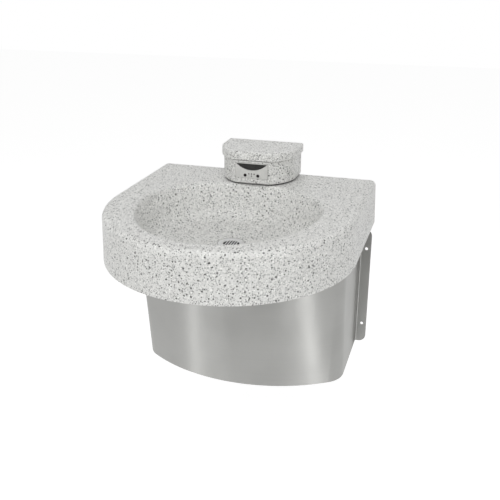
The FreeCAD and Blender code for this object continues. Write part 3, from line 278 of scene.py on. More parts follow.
def stone_chips_group():
    """Mask: one where the way to the cell's middle, as a share of Spacing, is less than the chip's radius.

    The radius is Size times SMALLEST_CHIP to one by chance, and the rim is soft outside CHIP_CORE of it.
    Shade is a second chance drawn for the chip.
    """
    inputs = {"Spacing": 10.0 * MM, "Size": 0.3, "Ragged": 0.3}
    tree, entry, leave = new_group("stone_chips", inputs, ("Mask", "Shade"))
    scale = calculate(tree, "DIVIDE", 1.0, entry["Spacing"])
    shake_scale = calculate(tree, "MULTIPLY", scale, SHAKES_PER_CELL)
    noise = {"Vector": entry["Place"], "Scale": shake_scale, "Detail": 1.0}
    shake = put(tree, "TexNoise", noise).outputs["Color"]
    centred = put(tree, "VectorMath", {0: shake, 1: (0.5, 0.5, 0.5)}, operation="SUBTRACT").outputs[0]
    reach = calculate(tree, "MULTIPLY", entry["Ragged"], entry["Spacing"])
    push = put(tree, "VectorMath", {0: centred, "Scale": reach}, operation="SCALE").outputs[0]
    place = put(tree, "VectorMath", {0: entry["Place"], 1: push}, operation="ADD").outputs[0]
    cells = put(tree, "TexVoronoi", {"Vector": place, "Scale": scale}, voronoi_dimensions="3D").outputs
    chance = put(tree, "SeparateColor", {0: cells["Color"]}).outputs
    share = rescale(tree, chance[0], 0.0, 1.0, SMALLEST_CHIP, 1.0)
    radius = calculate(tree, "MULTIPLY", entry["Size"], share)
    core = calculate(tree, "MULTIPLY", radius, CHIP_CORE)
    tree.links.new(rescale(tree, cells["Distance"], core, radius, 1.0, 0.0, soft=True), leave["Mask"])
    tree.links.new(chance[1], leave["Shade"])
    return tree


CHIPS = stone_chips_group()
print("group:", CHIPS.name)

# %% [markdown]
# ### Brushed lines
# A belt drawn along a sheet leaves thousands of short scratches that all lie level. They are too fine and
# too many to model. Noise that is squeezed hard in height and stretched along the sheet gives the same
# picture, and a second, coarser layer breaks up the evenness. The group gives a tone for colour and gloss
# and the fine layer for the bump.

# %% Lines of a brushing belt
COARSE_SCALE = 0.23
# nearly all of a noise lies between these
NOISE_LOW, NOISE_HIGH = 0.3, 0.7


def brushed_group():
    """Tone: mean of a fine and a coarse noise on x and y over Streak and z times Lines; Fine: the first."""
    tree, entry, leave = new_group("brushed_lines", {"Lines": 900.0, "Streak": 120.0 * MM}, ("Tone", "Fine"))
    along = calculate(tree, "DIVIDE", 1.0, entry["Streak"])
    squeeze = put(tree, "CombineXYZ", {0: along, 1: along, 2: entry["Lines"]}).outputs[0]
    place = put(tree, "VectorMath", {0: entry["Place"], 1: squeeze}, operation="MULTIPLY").outputs[0]
    fine = put(tree, "TexNoise", {"Vector": place, "Scale": 1.0, "Detail": 2.0}).outputs[0]
    coarse = put(tree, "TexNoise", {"Vector": place, "Scale": COARSE_SCALE, "Detail": 2.0}).outputs[0]
    mean = calculate(tree, "MULTIPLY", calculate(tree, "ADD", fine, coarse), 0.5)
    tree.links.new(rescale(tree, mean, NOISE_LOW, NOISE_HIGH, 0.0, 1.0), leave["Tone"])
    tree.links.new(fine, leave["Fine"])
    return tree


BRUSHED = brushed_group()
print("group:", BRUSHED.name)

# %% [markdown]
# ### Clouds and grit
# Hands, cloths and water leave slow changes in gloss, and every cast, moulded or plated skin has a fine
# grit. Both could be painted on, but noise has no seam and no end, so both are plain noise at two very
# different sizes.

# %% Slow clouds and fine grit
def clouds_group():
    """Mask: 0 to 1, noise with one cloud per Patch metres, its contrast set by Low and High."""
    inputs = {"Patch": 50.0 * MM, "Low": 0.35, "High": 0.65}
    tree, entry, leave = new_group("handled_clouds", inputs, ("Mask",))
    scale = calculate(tree, "DIVIDE", 1.0, entry["Patch"])
    cloud = put(tree, "TexNoise", {"Vector": entry["Place"], "Scale": scale, "Detail": 3.0}).outputs[0]
    tree.links.new(rescale(tree, cloud, entry["Low"], entry["High"], 0.0, 1.0, soft=True), leave["Mask"])
    return tree


def grit_group():
    """Height: noise with one bump per Grain metres."""
    tree, entry, leave = new_group("fine_grit", {"Grain": 1.0 * MM}, ("Height",))
    scale = calculate(tree, "DIVIDE", 1.0, entry["Grain"])
    grit = put(tree, "TexNoise", {"Vector": entry["Place"], "Scale": scale, "Detail": 2.0}).outputs[0]
    tree.links.new(grit, leave["Height"])
    return tree


CLOUDS = clouds_group()
GRIT = grit_group()
print("groups:", CLOUDS.name, GRIT.name)

# %% [markdown]
# ## Finishes
# Each slot of the part gets one material, made by one function and filed under that function's name. What
# stays the same all over a surface, such as how metallic it is, is set straight on the Principled shader;
# only what changes from place to place goes through the groups.

# %% Start a material
FINISHES = {}


def new_finish(name, **constants):
    """A Principled material with its constant inputs set; gives the material, tree, shader and place."""
    material = bpy.data.materials.new(name)
    material.use_nodes = True
    tree = material.node_tree
    shader = tree.nodes["Principled BSDF"]
    for label, value in constants.items():
        shader.inputs[label.replace("_", " ")].default_value = value
    place = put(tree, "TexCoord").outputs["Object"]
    return material, tree, shader, place


def roughen(tree, shader, height, depth):
    """Feed a height to the shader's normal as a bump of a depth in metres."""
    bump = put(tree, "Bump", {"Height": height, "Distance": depth, "Strength": 1.0})
    tree.links.new(bump.outputs[0], shader.inputs["Normal"])


def file_finishes(*makers):
    """Make each finish and file it under its maker's name."""
    FINISHES.update((make.__name__, make()) for make in makers)
    print("finishes:", ", ".join(make.__name__ for make in makers))


print("finish helpers ready")

# %% [markdown]
# ### Speckled solid surface
# The casting is pale grey with three kinds of chips: a dense pale dust, fine grey chips, and fewer
# near-black ones a few millimetres across. One texture can't hold three sizes, so the chips group is used
# three times, each with its own spacing, and each layer lies over the one before. The surface is sanded to
# a satin, and the dark chips polish a little brighter.

# %% Speckled solid surface
# spacing, size as a share of it, raggedness, darkest and palest tone of the dust, the grey and the dark chips
CHIP_LAYERS = (
    (3.2 * MM, 0.70, 0.50, 0.36, 1.0),
    (3.7 * MM, 0.35, 0.40, 0.02, 0.22),
    (7.8 * MM, 0.30, 0.25, 0.004, 0.02),
)
RESIN_DARK, RESIN_PALE, RESIN_CLOUD = 0.745, 0.775, 12.0 * MM
SATIN_SMOOTH, SATIN_DULL, SATIN_CLOUD = 0.36, 0.44, 60.0 * MM
SANDING_GRAIN, SANDING_DEPTH = 4.0 * MM, 0.04 * MM
CHIP_POLISH = 0.06
CREAM_BLUE = 0.972


def cream(value):
    """A grey with a trace of yellow, as cast resin has: its blue is CREAM_BLUE of the rest."""
    return tint(value, value, CREAM_BLUE * value)


def cast_stone(name):
    """Cloudy pale resin with each layer of chips laid over it; the last and darkest layer shines a little."""
    material, tree, shader, place = new_finish(name, Specular_IOR_Level=0.45)
    cloud = use_group(tree, CLOUDS, place, patch=RESIN_CLOUD, low=NOISE_LOW, high=NOISE_HIGH)["Mask"]
    colour = blend_colours(tree, cloud, cream(RESIN_DARK), cream(RESIN_PALE))
    for spacing, size, ragged, darkest, palest in CHIP_LAYERS:
        chips = use_group(tree, CHIPS, place, spacing=spacing, size=size, ragged=ragged)
        tone = blend_colours(tree, chips["Shade"], cream(darkest), cream(palest))
        colour = blend_colours(tree, chips["Mask"], colour, tone)
    tree.links.new(colour, shader.inputs["Base Color"])
    satin = use_group(tree, CLOUDS, place, patch=SATIN_CLOUD)["Mask"]
    rough = rescale(tree, satin, 0.0, 1.0, SATIN_SMOOTH, SATIN_DULL)
    polish = calculate(tree, "MULTIPLY", chips["Mask"], CHIP_POLISH)
    tree.links.new(calculate(tree, "SUBTRACT", rough, polish), shader.inputs["Roughness"])
    roughen(tree, shader, use_group(tree, GRIT, place, grain=SANDING_GRAIN)["Height"], SANDING_DEPTH)
    return material


def solid_surface():
    """The stone of the basin and the lid."""
    return cast_stone("solid_surface")


file_finishes(solid_surface)

# %% [markdown]
# ### Painted shade at the joints
# Where the head meets its lid, its face plate and the deck, a fine dark line shows: the shadow that a joint
# keeps. Grooves would change the solids, so the head's own stone is darkened near those three joints as
# painted shade. The way to a joint is plain arithmetic on the place: a height for the lid and the foot, and
# for the plate the larger of the ways past its sides and past its ends. One helper lays such a mark over any
# finish.

# %% Stone with painted shade at the joints
# painted shade at the lid, the foot and the plate: how far each line reaches, how dark at the joint, its tone
LID_LINE, FOOT_LINE, PLATE_LINE = 3.6 * MM, 4.0 * MM, 2.0 * MM
LID_SHADE, FOOT_SHADE, PLATE_SHADE = 0.9, 0.9, 0.65
JOINT_SHADE_TONE = cream(0.03)


def darken(material, mask, tone):
    """Lay a tone over a material's colour by a mask, a function of the tree and the place's x and z."""
    tree = material.node_tree
    colour = tree.nodes["Principled BSDF"].inputs["Base Color"]
    clean = colour.links[0].from_socket
    across, _, height = put(tree, "SeparateXYZ", {0: put(tree, "TexCoord").outputs["Object"]}).outputs
    tree.links.new(blend_colours(tree, mask(tree, across, height), clean, tone), colour)
    return material


def node_box(name):
    """Low and high corner of a node, in metres, as plain numbers."""
    corners = np.array([corner[:] for corner in nodes[name].bound_box])
    return corners.min(axis=0).tolist(), corners.max(axis=0).tolist()


def off_middle(tree, value, low, high):
    """How far a value lies from the middle of a range, either way."""
    return calculate(tree, "ABSOLUTE", calculate(tree, "SUBTRACT", value, (low + high) / 2))


def painted_joint_shade(tree, across, height):
    """Painted shade: most at the lid, the foot and the plate's edge, and gone at the end of each line's
    reach.
    """
    body_low, body_high = node_box("head_body")
    low, high = node_box("face_plate")
    past_side = calculate(tree, "SUBTRACT", off_middle(tree, across, low[0], high[0]), (high[0] - low[0]) / 2)
    past_end = calculate(tree, "SUBTRACT", off_middle(tree, height, low[2], high[2]), (high[2] - low[2]) / 2)
    ways = ((calculate(tree, "MAXIMUM", past_side, past_end), PLATE_LINE, PLATE_SHADE),
            (calculate(tree, "SUBTRACT", body_high[2], height), LID_LINE, LID_SHADE),
            (calculate(tree, "SUBTRACT", height, body_low[2]), FOOT_LINE, FOOT_SHADE))
    painted_shade = 0.0
    for way, reach, most in ways:
        painted_shade = calculate(tree, "MAXIMUM", painted_shade, rescale(tree, way, 0.0, reach, most, 0.0, soft=True))
    return painted_shade


def head_stone():
    """The stone of the head's body, with painted shade at its joints with the lid, the plate and the deck."""
    return darken(cast_stone("head_stone"), painted_joint_shade, JOINT_SHADE_TONE)


file_finishes(head_stone)

# %% [markdown]
# ### Stainless sheet and strainer
# The skirt is sheet with a level satin grain. The scratches spread a reflection up and down, so a lamp
# turns into an upright band. A bump fine enough for that is lost between the pixels, so the spread is set
# as anisotropy, with the upright way, across the grain, as its tangent. The strainer is pressed from
# thinner sheet and polished, so its grain is finer and its mirror sharper; below its bars its colour is
# darkened as painted shade down the bore.

# %% Stainless steels
WIPE_PATCH, WIPE_DULLING = 90.0 * MM, 0.03
SCRATCH_DEPTH = 0.006 * MM
# painted shade in the strainer's bore: how far below the bars it starts, how far it fades in, and its tone
BORE_SHADE_START, BORE_SHADE_REACH = 3.0 * MM, 2.0 * MM
BORE_SHADE_TONE = grey(0.05)


def steel(name, tones, rough, lines, streak, anisotropy, spread):
    """Metal whose tone and gloss follow the brushed lines; spread is the way across them."""
    material, tree, shader, place = new_finish(name, Metallic=1.0, Anisotropic=anisotropy)
    tangent = put(tree, "CombineXYZ", dict(enumerate(spread))).outputs[0]
    tree.links.new(tangent, shader.inputs["Tangent"])
    brushed = use_group(tree, BRUSHED, place, lines=lines, streak=streak)
    tree.links.new(blend_colours(tree, brushed["Tone"], *tones), shader.inputs["Base Color"])
    wiped = use_group(tree, CLOUDS, place, patch=WIPE_PATCH)["Mask"]
    dulling = calculate(tree, "MULTIPLY", wiped, WIPE_DULLING)
    grain_rough = rescale(tree, brushed["Tone"], 0.0, 1.0, *rough)
    tree.links.new(calculate(tree, "ADD", grain_rough, dulling), shader.inputs["Roughness"])
    roughen(tree, shader, brushed["Fine"], SCRATCH_DEPTH)
    return material


def stainless_sheet():
    """Level satin grain of the skirt."""
    return steel("stainless_sheet", (cream(0.475), cream(0.495)), rough=(0.49, 0.51), lines=1400.0,
                 streak=100.0 * MM, anisotropy=1.0, spread=(0.0, 0.0, 1.0))


def painted_bore_shade(tree, across, height):
    """Painted shade: nothing on the flange and its bars, and full a little further down the bore."""
    bars_foot = node_box("drain_strainer")[1][2] - BORE_SHADE_START
    return rescale(tree, height, bars_foot - BORE_SHADE_REACH, bars_foot, 1.0, 0.0)


def strainer_steel():
    """Brighter pressed steel of the strainer, darkened below its bars as painted shade."""
    bright = steel("strainer_steel", (grey(0.70), grey(0.76)), rough=(0.34, 0.42), lines=2200.0,
                   streak=20.0 * MM, anisotropy=0.3, spread=(0.0, 1.0, 0.0))
    return darken(bright, painted_bore_shade, BORE_SHADE_TONE)


file_finishes(stainless_sheet, strainer_steel)

# %% [markdown]
# ### Plated, cast and drawn metals
# Behind the skirt sit zinc-plated brackets, brass fittings, chromed waste and stops, and copper tube. Each
# could have a graph of its own, but they differ only in numbers, so they share one recipe: two tones that
# drift with slow clouds, a gloss that drifts with them, and a fine grit. Zinc drifts most and has a coarse
# spangle, chrome hardly at all, and copper has gone a little dull in patches.

# %% Other metals
def drifting_metal(name, tones, rough, patch, grain, depth):
    """Metal that drifts between two tones with clouds of one size, the second tone the smoother one."""
    material, tree, shader, place = new_finish(name, Metallic=1.0)
    drift = use_group(tree, CLOUDS, place, patch=patch)["Mask"]
    smooth, dull = rough
    tree.links.new(blend_colours(tree, drift, *tones), shader.inputs["Base Color"])
    tree.links.new(rescale(tree, drift, 0.0, 1.0, dull, smooth), shader.inputs["Roughness"])
    roughen(tree, shader, use_group(tree, GRIT, place, grain=grain)["Height"], depth)
    return material


def zinc_steel():
    """Bright zinc plate with a faint spangle."""
    return drifting_metal("zinc_steel", (tint(0.50, 0.52, 0.55), tint(0.66, 0.67, 0.68)),
                          rough=(0.30, 0.44), patch=6.0 * MM, grain=1.2 * MM, depth=0.02 * MM)


def brass():
    """Machined brass, a little darker where it has been handled."""
    return drifting_metal("brass", (tint(0.50, 0.34, 0.13), tint(0.68, 0.49, 0.21)),
                          rough=(0.22, 0.36), patch=12.0 * MM, grain=1.0 * MM, depth=0.02 * MM)


def chrome():
    """Chromed brass: nearly a clean mirror."""
    return drifting_metal("chrome", (tint(0.56, 0.56, 0.57), tint(0.66, 0.66, 0.67)),
                          rough=(0.07, 0.14), patch=30.0 * MM, grain=3.0 * MM, depth=0.01 * MM)


def copper():
    """Drawn copper tube with dull patches."""
    return drifting_metal("copper", (tint(0.46, 0.20, 0.11), tint(0.72, 0.36, 0.23)),
                          rough=(0.20, 0.40), patch=18.0 * MM, grain=1.4 * MM, depth=0.02 * MM)


def sleeve_steel():
    """Ground steel of the solenoid's sleeve, plunger and spring."""
    return drifting_metal("sleeve_steel", (tint(0.46, 0.46, 0.47), tint(0.58, 0.58, 0.59)),
                          rough=(0.18, 0.28), patch=8.0 * MM, grain=0.6 * MM, depth=0.01 * MM)


file_finishes(zinc_steel, brass, chrome, copper, sleeve_steel)

# %% [markdown]
# ### Face plate
# The small plate on the front of the head is blasted with beads, so it has no grain, and the drifting
# recipe fits it with a duller gloss. Each sensor eye sits in a dark rim, which also stands in for the
# painted shadow of its bezel. A ring could be modelled there, but it is a flat mark of little more than a
# millimetre, so the plate's colour darkens with the way to the nearer eye.

# %% Blasted plate with dark rims and painted shade round the eyes
# dark rim round each eye, partly painted shadow of its bezel: its width and its tone
EYE_RIM = 1.6 * MM
RIM_AND_SHADE_TONE = grey(0.02)


def eye_rims_and_shade(tree, across, height):
    """One over each eye and half its rim, then less with the way to the nearer eye's middle, to nothing."""
    low, high = node_box("sensor_lenses")
    radius = (high[2] - low[2]) / 2
    eye_offset = (high[0] - low[0]) / 2 - radius
    beside = calculate(tree, "SUBTRACT", off_middle(tree, across, low[0], high[0]), eye_offset)
    above = off_middle(tree, height, low[2], high[2])
    way = put(tree, "CombineXYZ", {0: beside, 1: above}).outputs[0]
    length = put(tree, "VectorMath", {0: way}, operation="LENGTH").outputs["Value"]
    return rescale(tree, length, radius + EYE_RIM / 2, radius + EYE_RIM, 1.0, 0.0)


def blasted_steel():
    """Bead-blasted face plate: even and dull, with a dark rim and painted shade round each sensor eye."""
    plate = drifting_metal("blasted_steel", (cream(0.61), cream(0.67)),
                           rough=(0.50, 0.60), patch=20.0 * MM, grain=0.7 * MM, depth=0.03 * MM)
    return darken(plate, eye_rims_and_shade, RIM_AND_SHADE_TONE)


file_finishes(blasted_steel)

# %% [markdown]
# ### Mouldings, rubber and fibre
# Moulded covers have a fine spark-eroded grit and a slight drift in tone; rubber is darker and duller; the
# fibre ring is pressed paper with a coarse fleck. One recipe covers them with different numbers, and its
# gloss follows the grit. The dark lens is smooth smoked plastic. It could be made as glass, but nothing
# shows behind it, so a deep tone under a smooth, faint gloss is enough.

# %% Plastics, rubber and fibre
LENS_SMOOTH, LENS_DULL = 0.16, 0.24


def moulded(name, tones, rough, patch, grain, depth):
    """Non-metal that drifts between two tones, with a grit of one grain that also sets its roughness."""
    material, tree, shader, place = new_finish(name, Specular_IOR_Level=0.45)
    drift = use_group(tree, CLOUDS, place, patch=patch)["Mask"]
    grit = use_group(tree, GRIT, place, grain=grain)["Height"]
    tree.links.new(blend_colours(tree, drift, *tones), shader.inputs["Base Color"])
    tree.links.new(rescale(tree, grit, NOISE_LOW, NOISE_HIGH, *rough), shader.inputs["Roughness"])
    roughen(tree, shader, grit, depth)
    return material


def black_moulding():
    """Black spray outlet, sensor block and coil."""
    return moulded("black_moulding", (tint(0.013, 0.013, 0.012), tint(0.022, 0.022, 0.020)),
                   rough=(0.42, 0.58), patch=10.0 * MM, grain=0.8 * MM, depth=0.03 * MM)


def grey_moulding():
    """Light grey control box, strap and valve body."""
    return moulded("grey_moulding", (tint(0.36, 0.37, 0.38), tint(0.43, 0.44, 0.45)),
                   rough=(0.40, 0.55), patch=20.0 * MM, grain=0.9 * MM, depth=0.03 * MM)


def rubber():
    """Dull black seals and grommet."""
    return moulded("rubber", (tint(0.016, 0.016, 0.017), tint(0.032, 0.032, 0.033)),
                   rough=(0.62, 0.80), patch=8.0 * MM, grain=0.6 * MM, depth=0.03 * MM)


def fibre():
    """Pressed red-brown fibre ring."""
    return moulded("fibre", (tint(0.24, 0.085, 0.05), tint(0.36, 0.15, 0.09)),
                   rough=(0.65, 0.85), patch=2.0 * MM, grain=0.4 * MM, depth=0.05 * MM)


def dark_lens():
    """Smoked window of the sensors and lights: its tone and gloss drift a little, with no grit."""
    material, tree, shader, place = new_finish("dark_lens", Specular_IOR_Level=0.25)
    smoke = use_group(tree, CLOUDS, place, patch=3.0 * MM)["Mask"]
    tone = blend_colours(tree, smoke, tint(0.010, 0.009, 0.010), tint(0.030, 0.022, 0.024))
    tree.links.new(tone, shader.inputs["Base Color"])
    tree.links.new(rescale(tree, smoke, 0.0, 1.0, LENS_SMOOTH, LENS_DULL), shader.inputs["Roughness"])
    return material


file_finishes(black_moulding, grey_moulding, rubber, fibre, dark_lens)

# %% [markdown]
# ## Dress the solids
# Every solid came in with a plain material named for its slot. A list of all the nodes could give each its
# finish, but the slot's name already does. Two solids take a closer finish: the head's body has painted
# shade at its joints, and the face plate is blasted where the skirt is brushed.

# %% Give every solid its finish
CLOSER = {"head_body": "head_stone", "face_plate": "blasted_steel"}
for name, node in nodes.items():
    slot = node.material_slots[0].material.name.split(".")[0]
    node.material_slots[0].material = FINISHES[CLOSER.get(name, slot)]
print("dressed", len(nodes), "solids")

# %% [markdown]
# ## Pieces made from a formula
# Nuts, screws, threads and springs are the same few shapes over and over. They could be modelled by hand,
# one by one, but written once as a formula for a radius or a path each shape fits every size. A piece is a
# stack of rings: every ring has the same number of points, and quads join each ring to the next. The rings
# may run back into the first one, as in a nut with its bore, or shrink to a point at both ends, as in a
# screw.

# %% From rings to a piece
TURNS = np.linspace(0.0, 2.0 * np.pi, 72, endpoint=False)
WELD = 1e-7
CREASE = math.radians(35.0)


def lathe(profile):
    """Rings from (radius, height) pairs: x and y are the radius times the cosine and sine of each turn.

    A radius is one number, or one value for each of the TURNS.
    """
    radii = np.array([np.broadcast_to(radius, TURNS.shape) for radius, _ in profile])
    heights = np.array([np.broadcast_to(height, TURNS.shape) for _, height in profile])
    return np.stack([radii * np.cos(TURNS), radii * np.sin(TURNS), heights], axis=-1)


def ring_faces(rings, columns, wrap):
    """Quads between neighbouring rings; every ring is closed, and wrap joins the last ring to the first."""
    index = np.arange(rings * columns).reshape(rings, columns)
    after = np.roll(index, -1, axis=0)
    if not wrap:
        index, after = index[:-1], after[:-1]
    quads = np.stack([index, np.roll(index, -1, axis=1), np.roll(after, -1, axis=1), after], axis=-1)
    return quads.reshape(-1, 4)


def new_piece(name, stacks, finish, body, stands_for, wrap=False):
    """One object from stacks of rings in millimetres, welded at the points and smooth between its creases."""
    points, quads, first = [], [], 0
    for stack in stacks:
        rings, columns = stack.shape[:2]
        points.append(stack.reshape(-1, 3) * MM)
        quads.append(ring_faces(rings, columns, wrap) + first)
        first += rings * columns
    mesh = bpy.data.meshes.new(name)
    mesh.from_pydata(np.concatenate(points).tolist(), [], np.concatenate(quads).tolist())
    shape = bmesh.new()
    shape.from_mesh(mesh)
    bmesh.ops.remove_doubles(shape, verts=shape.verts, dist=WELD)
    bmesh.ops.recalc_face_normals(shape, faces=shape.faces)
    shape.to_mesh(mesh)
    shape.free()
    mesh.shade_smooth()
    mesh.set_sharp_from_angle(angle=CREASE)
    mesh.materials.append(FINISHES[finish])
    piece = bpy.data.objects.new(name, mesh)
    bpy.context.scene.collection.objects.link(piece)
    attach(piece, body)
    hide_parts(stands_for)
    print(name, len(mesh.polygons), "faces")
    return piece


print("rings of", len(TURNS), "points")

# %% [markdown]
# ### Where the solids sit
# A node such as the compression nuts holds several solids. Their places could be typed in, but would be
# wrong as soon as a size of the part changes, so they are measured. Corners at one place count as one, and
# each triangle ties its three corners together; what is tied together is one solid. Its box then gives the
# middle, and the box's short side the axis of a nut.

# %% Find the places
WELD_DIGITS = 3


def solid_boxes(name):
    """Low and high corners, in millimetres, of each separate solid in a node.

    Corners that round to one place share a number. Each triangle hands the least number among its corners
    to all three, again and again, until a whole solid holds one number.
    """
    mesh = nodes[name].data
    places = np.empty(3 * len(mesh.vertices), dtype=np.float32)
    mesh.vertices.foreach_get("co", places)
    places = places.astype(float).reshape(-1, 3) / MM
    corners = np.empty(len(mesh.loops), dtype=np.int32)
    mesh.loops.foreach_get("vertex_index", corners)
    shared = np.unique(places.round(WELD_DIGITS), axis=0, return_inverse=True)[1].ravel()
    triangles = shared[corners].reshape(-1, 3)
    owner = np.arange(shared.max() + 1)
    settled = False
    while not settled:
        least = owner.copy()
        np.minimum.at(least, triangles, owner[triangles].min(axis=1, keepdims=True))
        settled = np.array_equal(least, owner)
        owner = least[least]
    solid = owner[shared]
    firsts = np.sort(np.unique(solid, return_index=True)[1])
    members = [places[solid == solid[first]] for first in firsts]
    return [(points.min(axis=0), points.max(axis=0)) for points in members]


def stand(stack, box, axis):
    """Turn a stack drawn up +Z to an axis, its foot on the middle of the side where the axis enters a box."""
    low, high = box
    axis = np.array(axis, dtype=float)
    base = (low + high) / 2 - axis * (np.abs(axis) @ (high - low)) / 2
    turn = np.array(Vector((0, 0, 1)).rotation_difference(Vector(axis)).to_matrix())
    return stack @ turn.T + base


def short_axis(box):
    """Unit vector along the shortest side of a box."""
    return np.eye(3)[np.argmin(box[1] - box[0])]


print("nuts to place:", len(solid_boxes("compression_nuts")), "on the tubes")

# %% [markdown]
# ### Hexagon nuts
# A nut is cut from hexagon bar and its ends are turned with a 30 degree cone, which leaves the curved bites
# at the corners. Cutting a hexagon with a cone by a boolean would leave long thin triangles. Here both are
# one formula: in every direction the radius is the least of the hexagon and the cone. The mouth of the bore
# is countersunk so that the thread starts cleanly.

# %% Chamfered nuts
FACE_SHARE = 0.475
SINK_SHARE = 0.07
CHAMFER_RINGS = 7


def hex_sides(flats, levels, depths):
    """(radius, level) pairs: half the flats over the cosine, or the cone at a depth from the end if less."""
    hexagon = flats / 2 / np.cos(TURNS % (np.pi / 3) - np.pi / 6)
    cone = FACE_SHARE * flats + math.sqrt(3) * depths
    return [(np.minimum(hexagon, reach), level) for level, reach in zip(levels, cone)]


def chamfer_levels(flats):
    """Levels through a chamfer, from the end face to where the cone leaves the corners."""
    corner = flats / math.sqrt(3)
    return np.linspace(0.0, (corner - FACE_SHARE * flats) / math.sqrt(3), CHAMFER_RINGS)


def hex_nut(flats, height, bore, skirt_bore=0.0, skirt=0.0):
    """Nut with both ends chamfered; bores are radii, and a skirt is a wider bore up to a height."""
    near = chamfer_levels(flats)
    levels = np.concatenate([near, height - near[::-1]])
    wide = skirt_bore or bore
    sink = SINK_SHARE * bore
    inside = [(bore + sink, height), (bore, height - sink)]
    if skirt:
        inside += [(bore, skirt), (wide, skirt)]
    inside += [(wide, sink), (wide + sink, 0.0)]
    return lathe(hex_sides(flats, levels, np.minimum(levels, height - levels)) + inside)


# node: finish, width across the flats, radius of the bore
NUTS = {
    "head_nuts": ("zinc_steel", 13.0, 4.1),
    "plate_nuts": ("zinc_steel", 7.0, 2.1),
    "compression_nuts": ("brass", 20.0, 6.1),
    "drain_locknut": ("brass", 60.0, 23.1),
    "stop_bonnets": ("chrome", 20.0, 5.05),
    "mixing_valve_bonnet": ("brass", 24.0, 4.05),
    "coil_nut": ("sleeve_steel", 17.0, 6.6),
}
for name, (finish, flats, bore) in NUTS.items():
    stacks = []
    for box in solid_boxes(name):
        nut = hex_nut(flats, min(box[1] - box[0]), bore)
        stacks.append(stand(nut, box, short_axis(box)))
    new_piece("turned_" + name, stacks, finish, "fixed", name, wrap=True)

SLIP_NUT = hex_nut(flats=46.0, height=20.0, bore=16.2, skirt_bore=18.3, skirt=16.0)
new_piece("turned_trap_nuts", [stand(SLIP_NUT, box, (0, 0, 1)) for box in solid_boxes("trap_nuts")],
          "chrome", "fixed", "trap_nuts", wrap=True)

# %% [markdown]
# ### Threads
# A screw thread is a V wound round a bar. The Screw modifier can wind one too, but leaves its ends to be
# closed. As a formula it is simple: going up by one pitch or once round brings the V back to itself, so the
# radius depends only on height over pitch minus turn over a full turn, and the share past a whole number
# gives the place across the V. The bolts, the studs and every screw below take their thread from here.

# %% Threaded bolts and studs
RINGS_PER_PITCH = 8
THREAD_DEPTH = 0.6
CREST, ROOT = 0.12, 0.88
SEAT_START = 0.94
SHANK_SHARE = 0.94


def thread(radius, start, end, pitch):
    """(radius, level) pairs: the radius less THREAD_DEPTH pitches times the way from crest to root."""
    levels = np.arange(start, end, pitch / RINGS_PER_PITCH)
    phase = (levels[:, None] / pitch - TURNS / (2 * np.pi)) % 1.0
    radii = radius - THREAD_DEPTH * pitch * np.clip(np.abs(2 * phase - 1), CREST, ROOT)
    return list(zip(radii, levels))


def threaded_end(radius, start, end, pitch):
    """A thread that runs out into a bevelled end and closes there in a point."""
    return thread(radius, start, end - pitch / 2, pitch) + [(radius - pitch, end), (0.0, end)]


def hex_bolt(flats, head, radius, length, pitch):
    """Bolt drawn from the face of its head: chamfered hexagon, round seat, plain neck, thread."""
    levels = np.append(chamfer_levels(flats), head * SEAT_START)
    sides = hex_sides(flats, levels, levels)
    seat = FACE_SHARE * flats
    neck = [(seat, head * SEAT_START), (seat, head), (radius, head), (radius, head + pitch)]
    return lathe([(0.0, 0.0)] + sides + neck + threaded_end(radius, head + 2 * pitch, length, pitch))


def threaded_stud(radius, grip, length, pitch):
    """Stud drawn from its free end: bevelled point, thread for the nut, plain shank to the cast end."""
    shank = radius * SHANK_SHARE
    free = [(0.0, 0.0), (radius - pitch, 0.0)] + thread(radius, pitch / 2, grip, pitch)
    return lathe(free + [(shank, grip + pitch), (shank, length), (0.0, length)])


BOLT = hex_bolt(flats=13.0, head=5.3, radius=4.0, length=27.3, pitch=1.25)
new_piece("threaded_bracket_bolts", [stand(BOLT, box, (0, 0, 1)) for box in solid_boxes("bracket_bolts")],
          "zinc_steel", "fixed", "bracket_bolts")
STUD = threaded_stud(radius=4.0, grip=22.0, length=106.5, pitch=1.25)
new_piece("threaded_head_studs", [stand(STUD, box, (0, 0, 1)) for box in solid_boxes("head_studs")],
          "zinc_steel", "fixed", "head_studs")

# %% [markdown]
# ### Button-head screws
# A basin for a guarded room is put together with screws that a pocket tool can't turn: a low dome with a
# six-lobed recess and a pin in the middle of it. A boolean could cut the recess, but would spoil the dome's
# shading, so the same rings make both: the lobes are a circle whose radius swells six times a turn, and the
# dome falls with the square of the way out to the rim.

# %% Button-head screws
LOBE_COUNT, LOBE_SWELL = 6, 0.14
# radii as shares of the head's radius, then of the lobes
RECESS, PIN = 0.42, 0.15
RECESS_FOOT, RECESS_MOUTH = 0.97, 1.05
# depths as shares of the head's height
PIN_TOP, RECESS_FLOOR, BEVEL, DOME_FALL = 0.30, 0.62, 0.08, 0.66
DOME_RINGS = 9


def button_screw(head, rise, radius, length, pitch):
    """Screw drawn from its crown: pin, recess of RECESS head (1 + LOBE_SWELL cos 6 turn), dome, thread."""
    lobes = RECESS * head * (1.0 + LOBE_SWELL * np.cos(LOBE_COUNT * TURNS))
    top, floor = PIN_TOP * rise, RECESS_FLOOR * rise
    pin = [(0.0, top), (PIN * head, top), (PIN * head, floor)]
    recess = [(lobes * RECESS_FOOT, floor), (lobes, BEVEL * rise)]
    dome = [(lobes * RECESS_MOUTH * (1 - way) + head * way, DOME_FALL * rise * way ** 2)
            for way in np.linspace(0.0, 1.0, DOME_RINGS)]
    under = [(head, rise), (radius, rise), (radius, rise + pitch)]
    return lathe(pin + recess + dome + under + threaded_end(radius, rise + 2 * pitch, length, pitch))


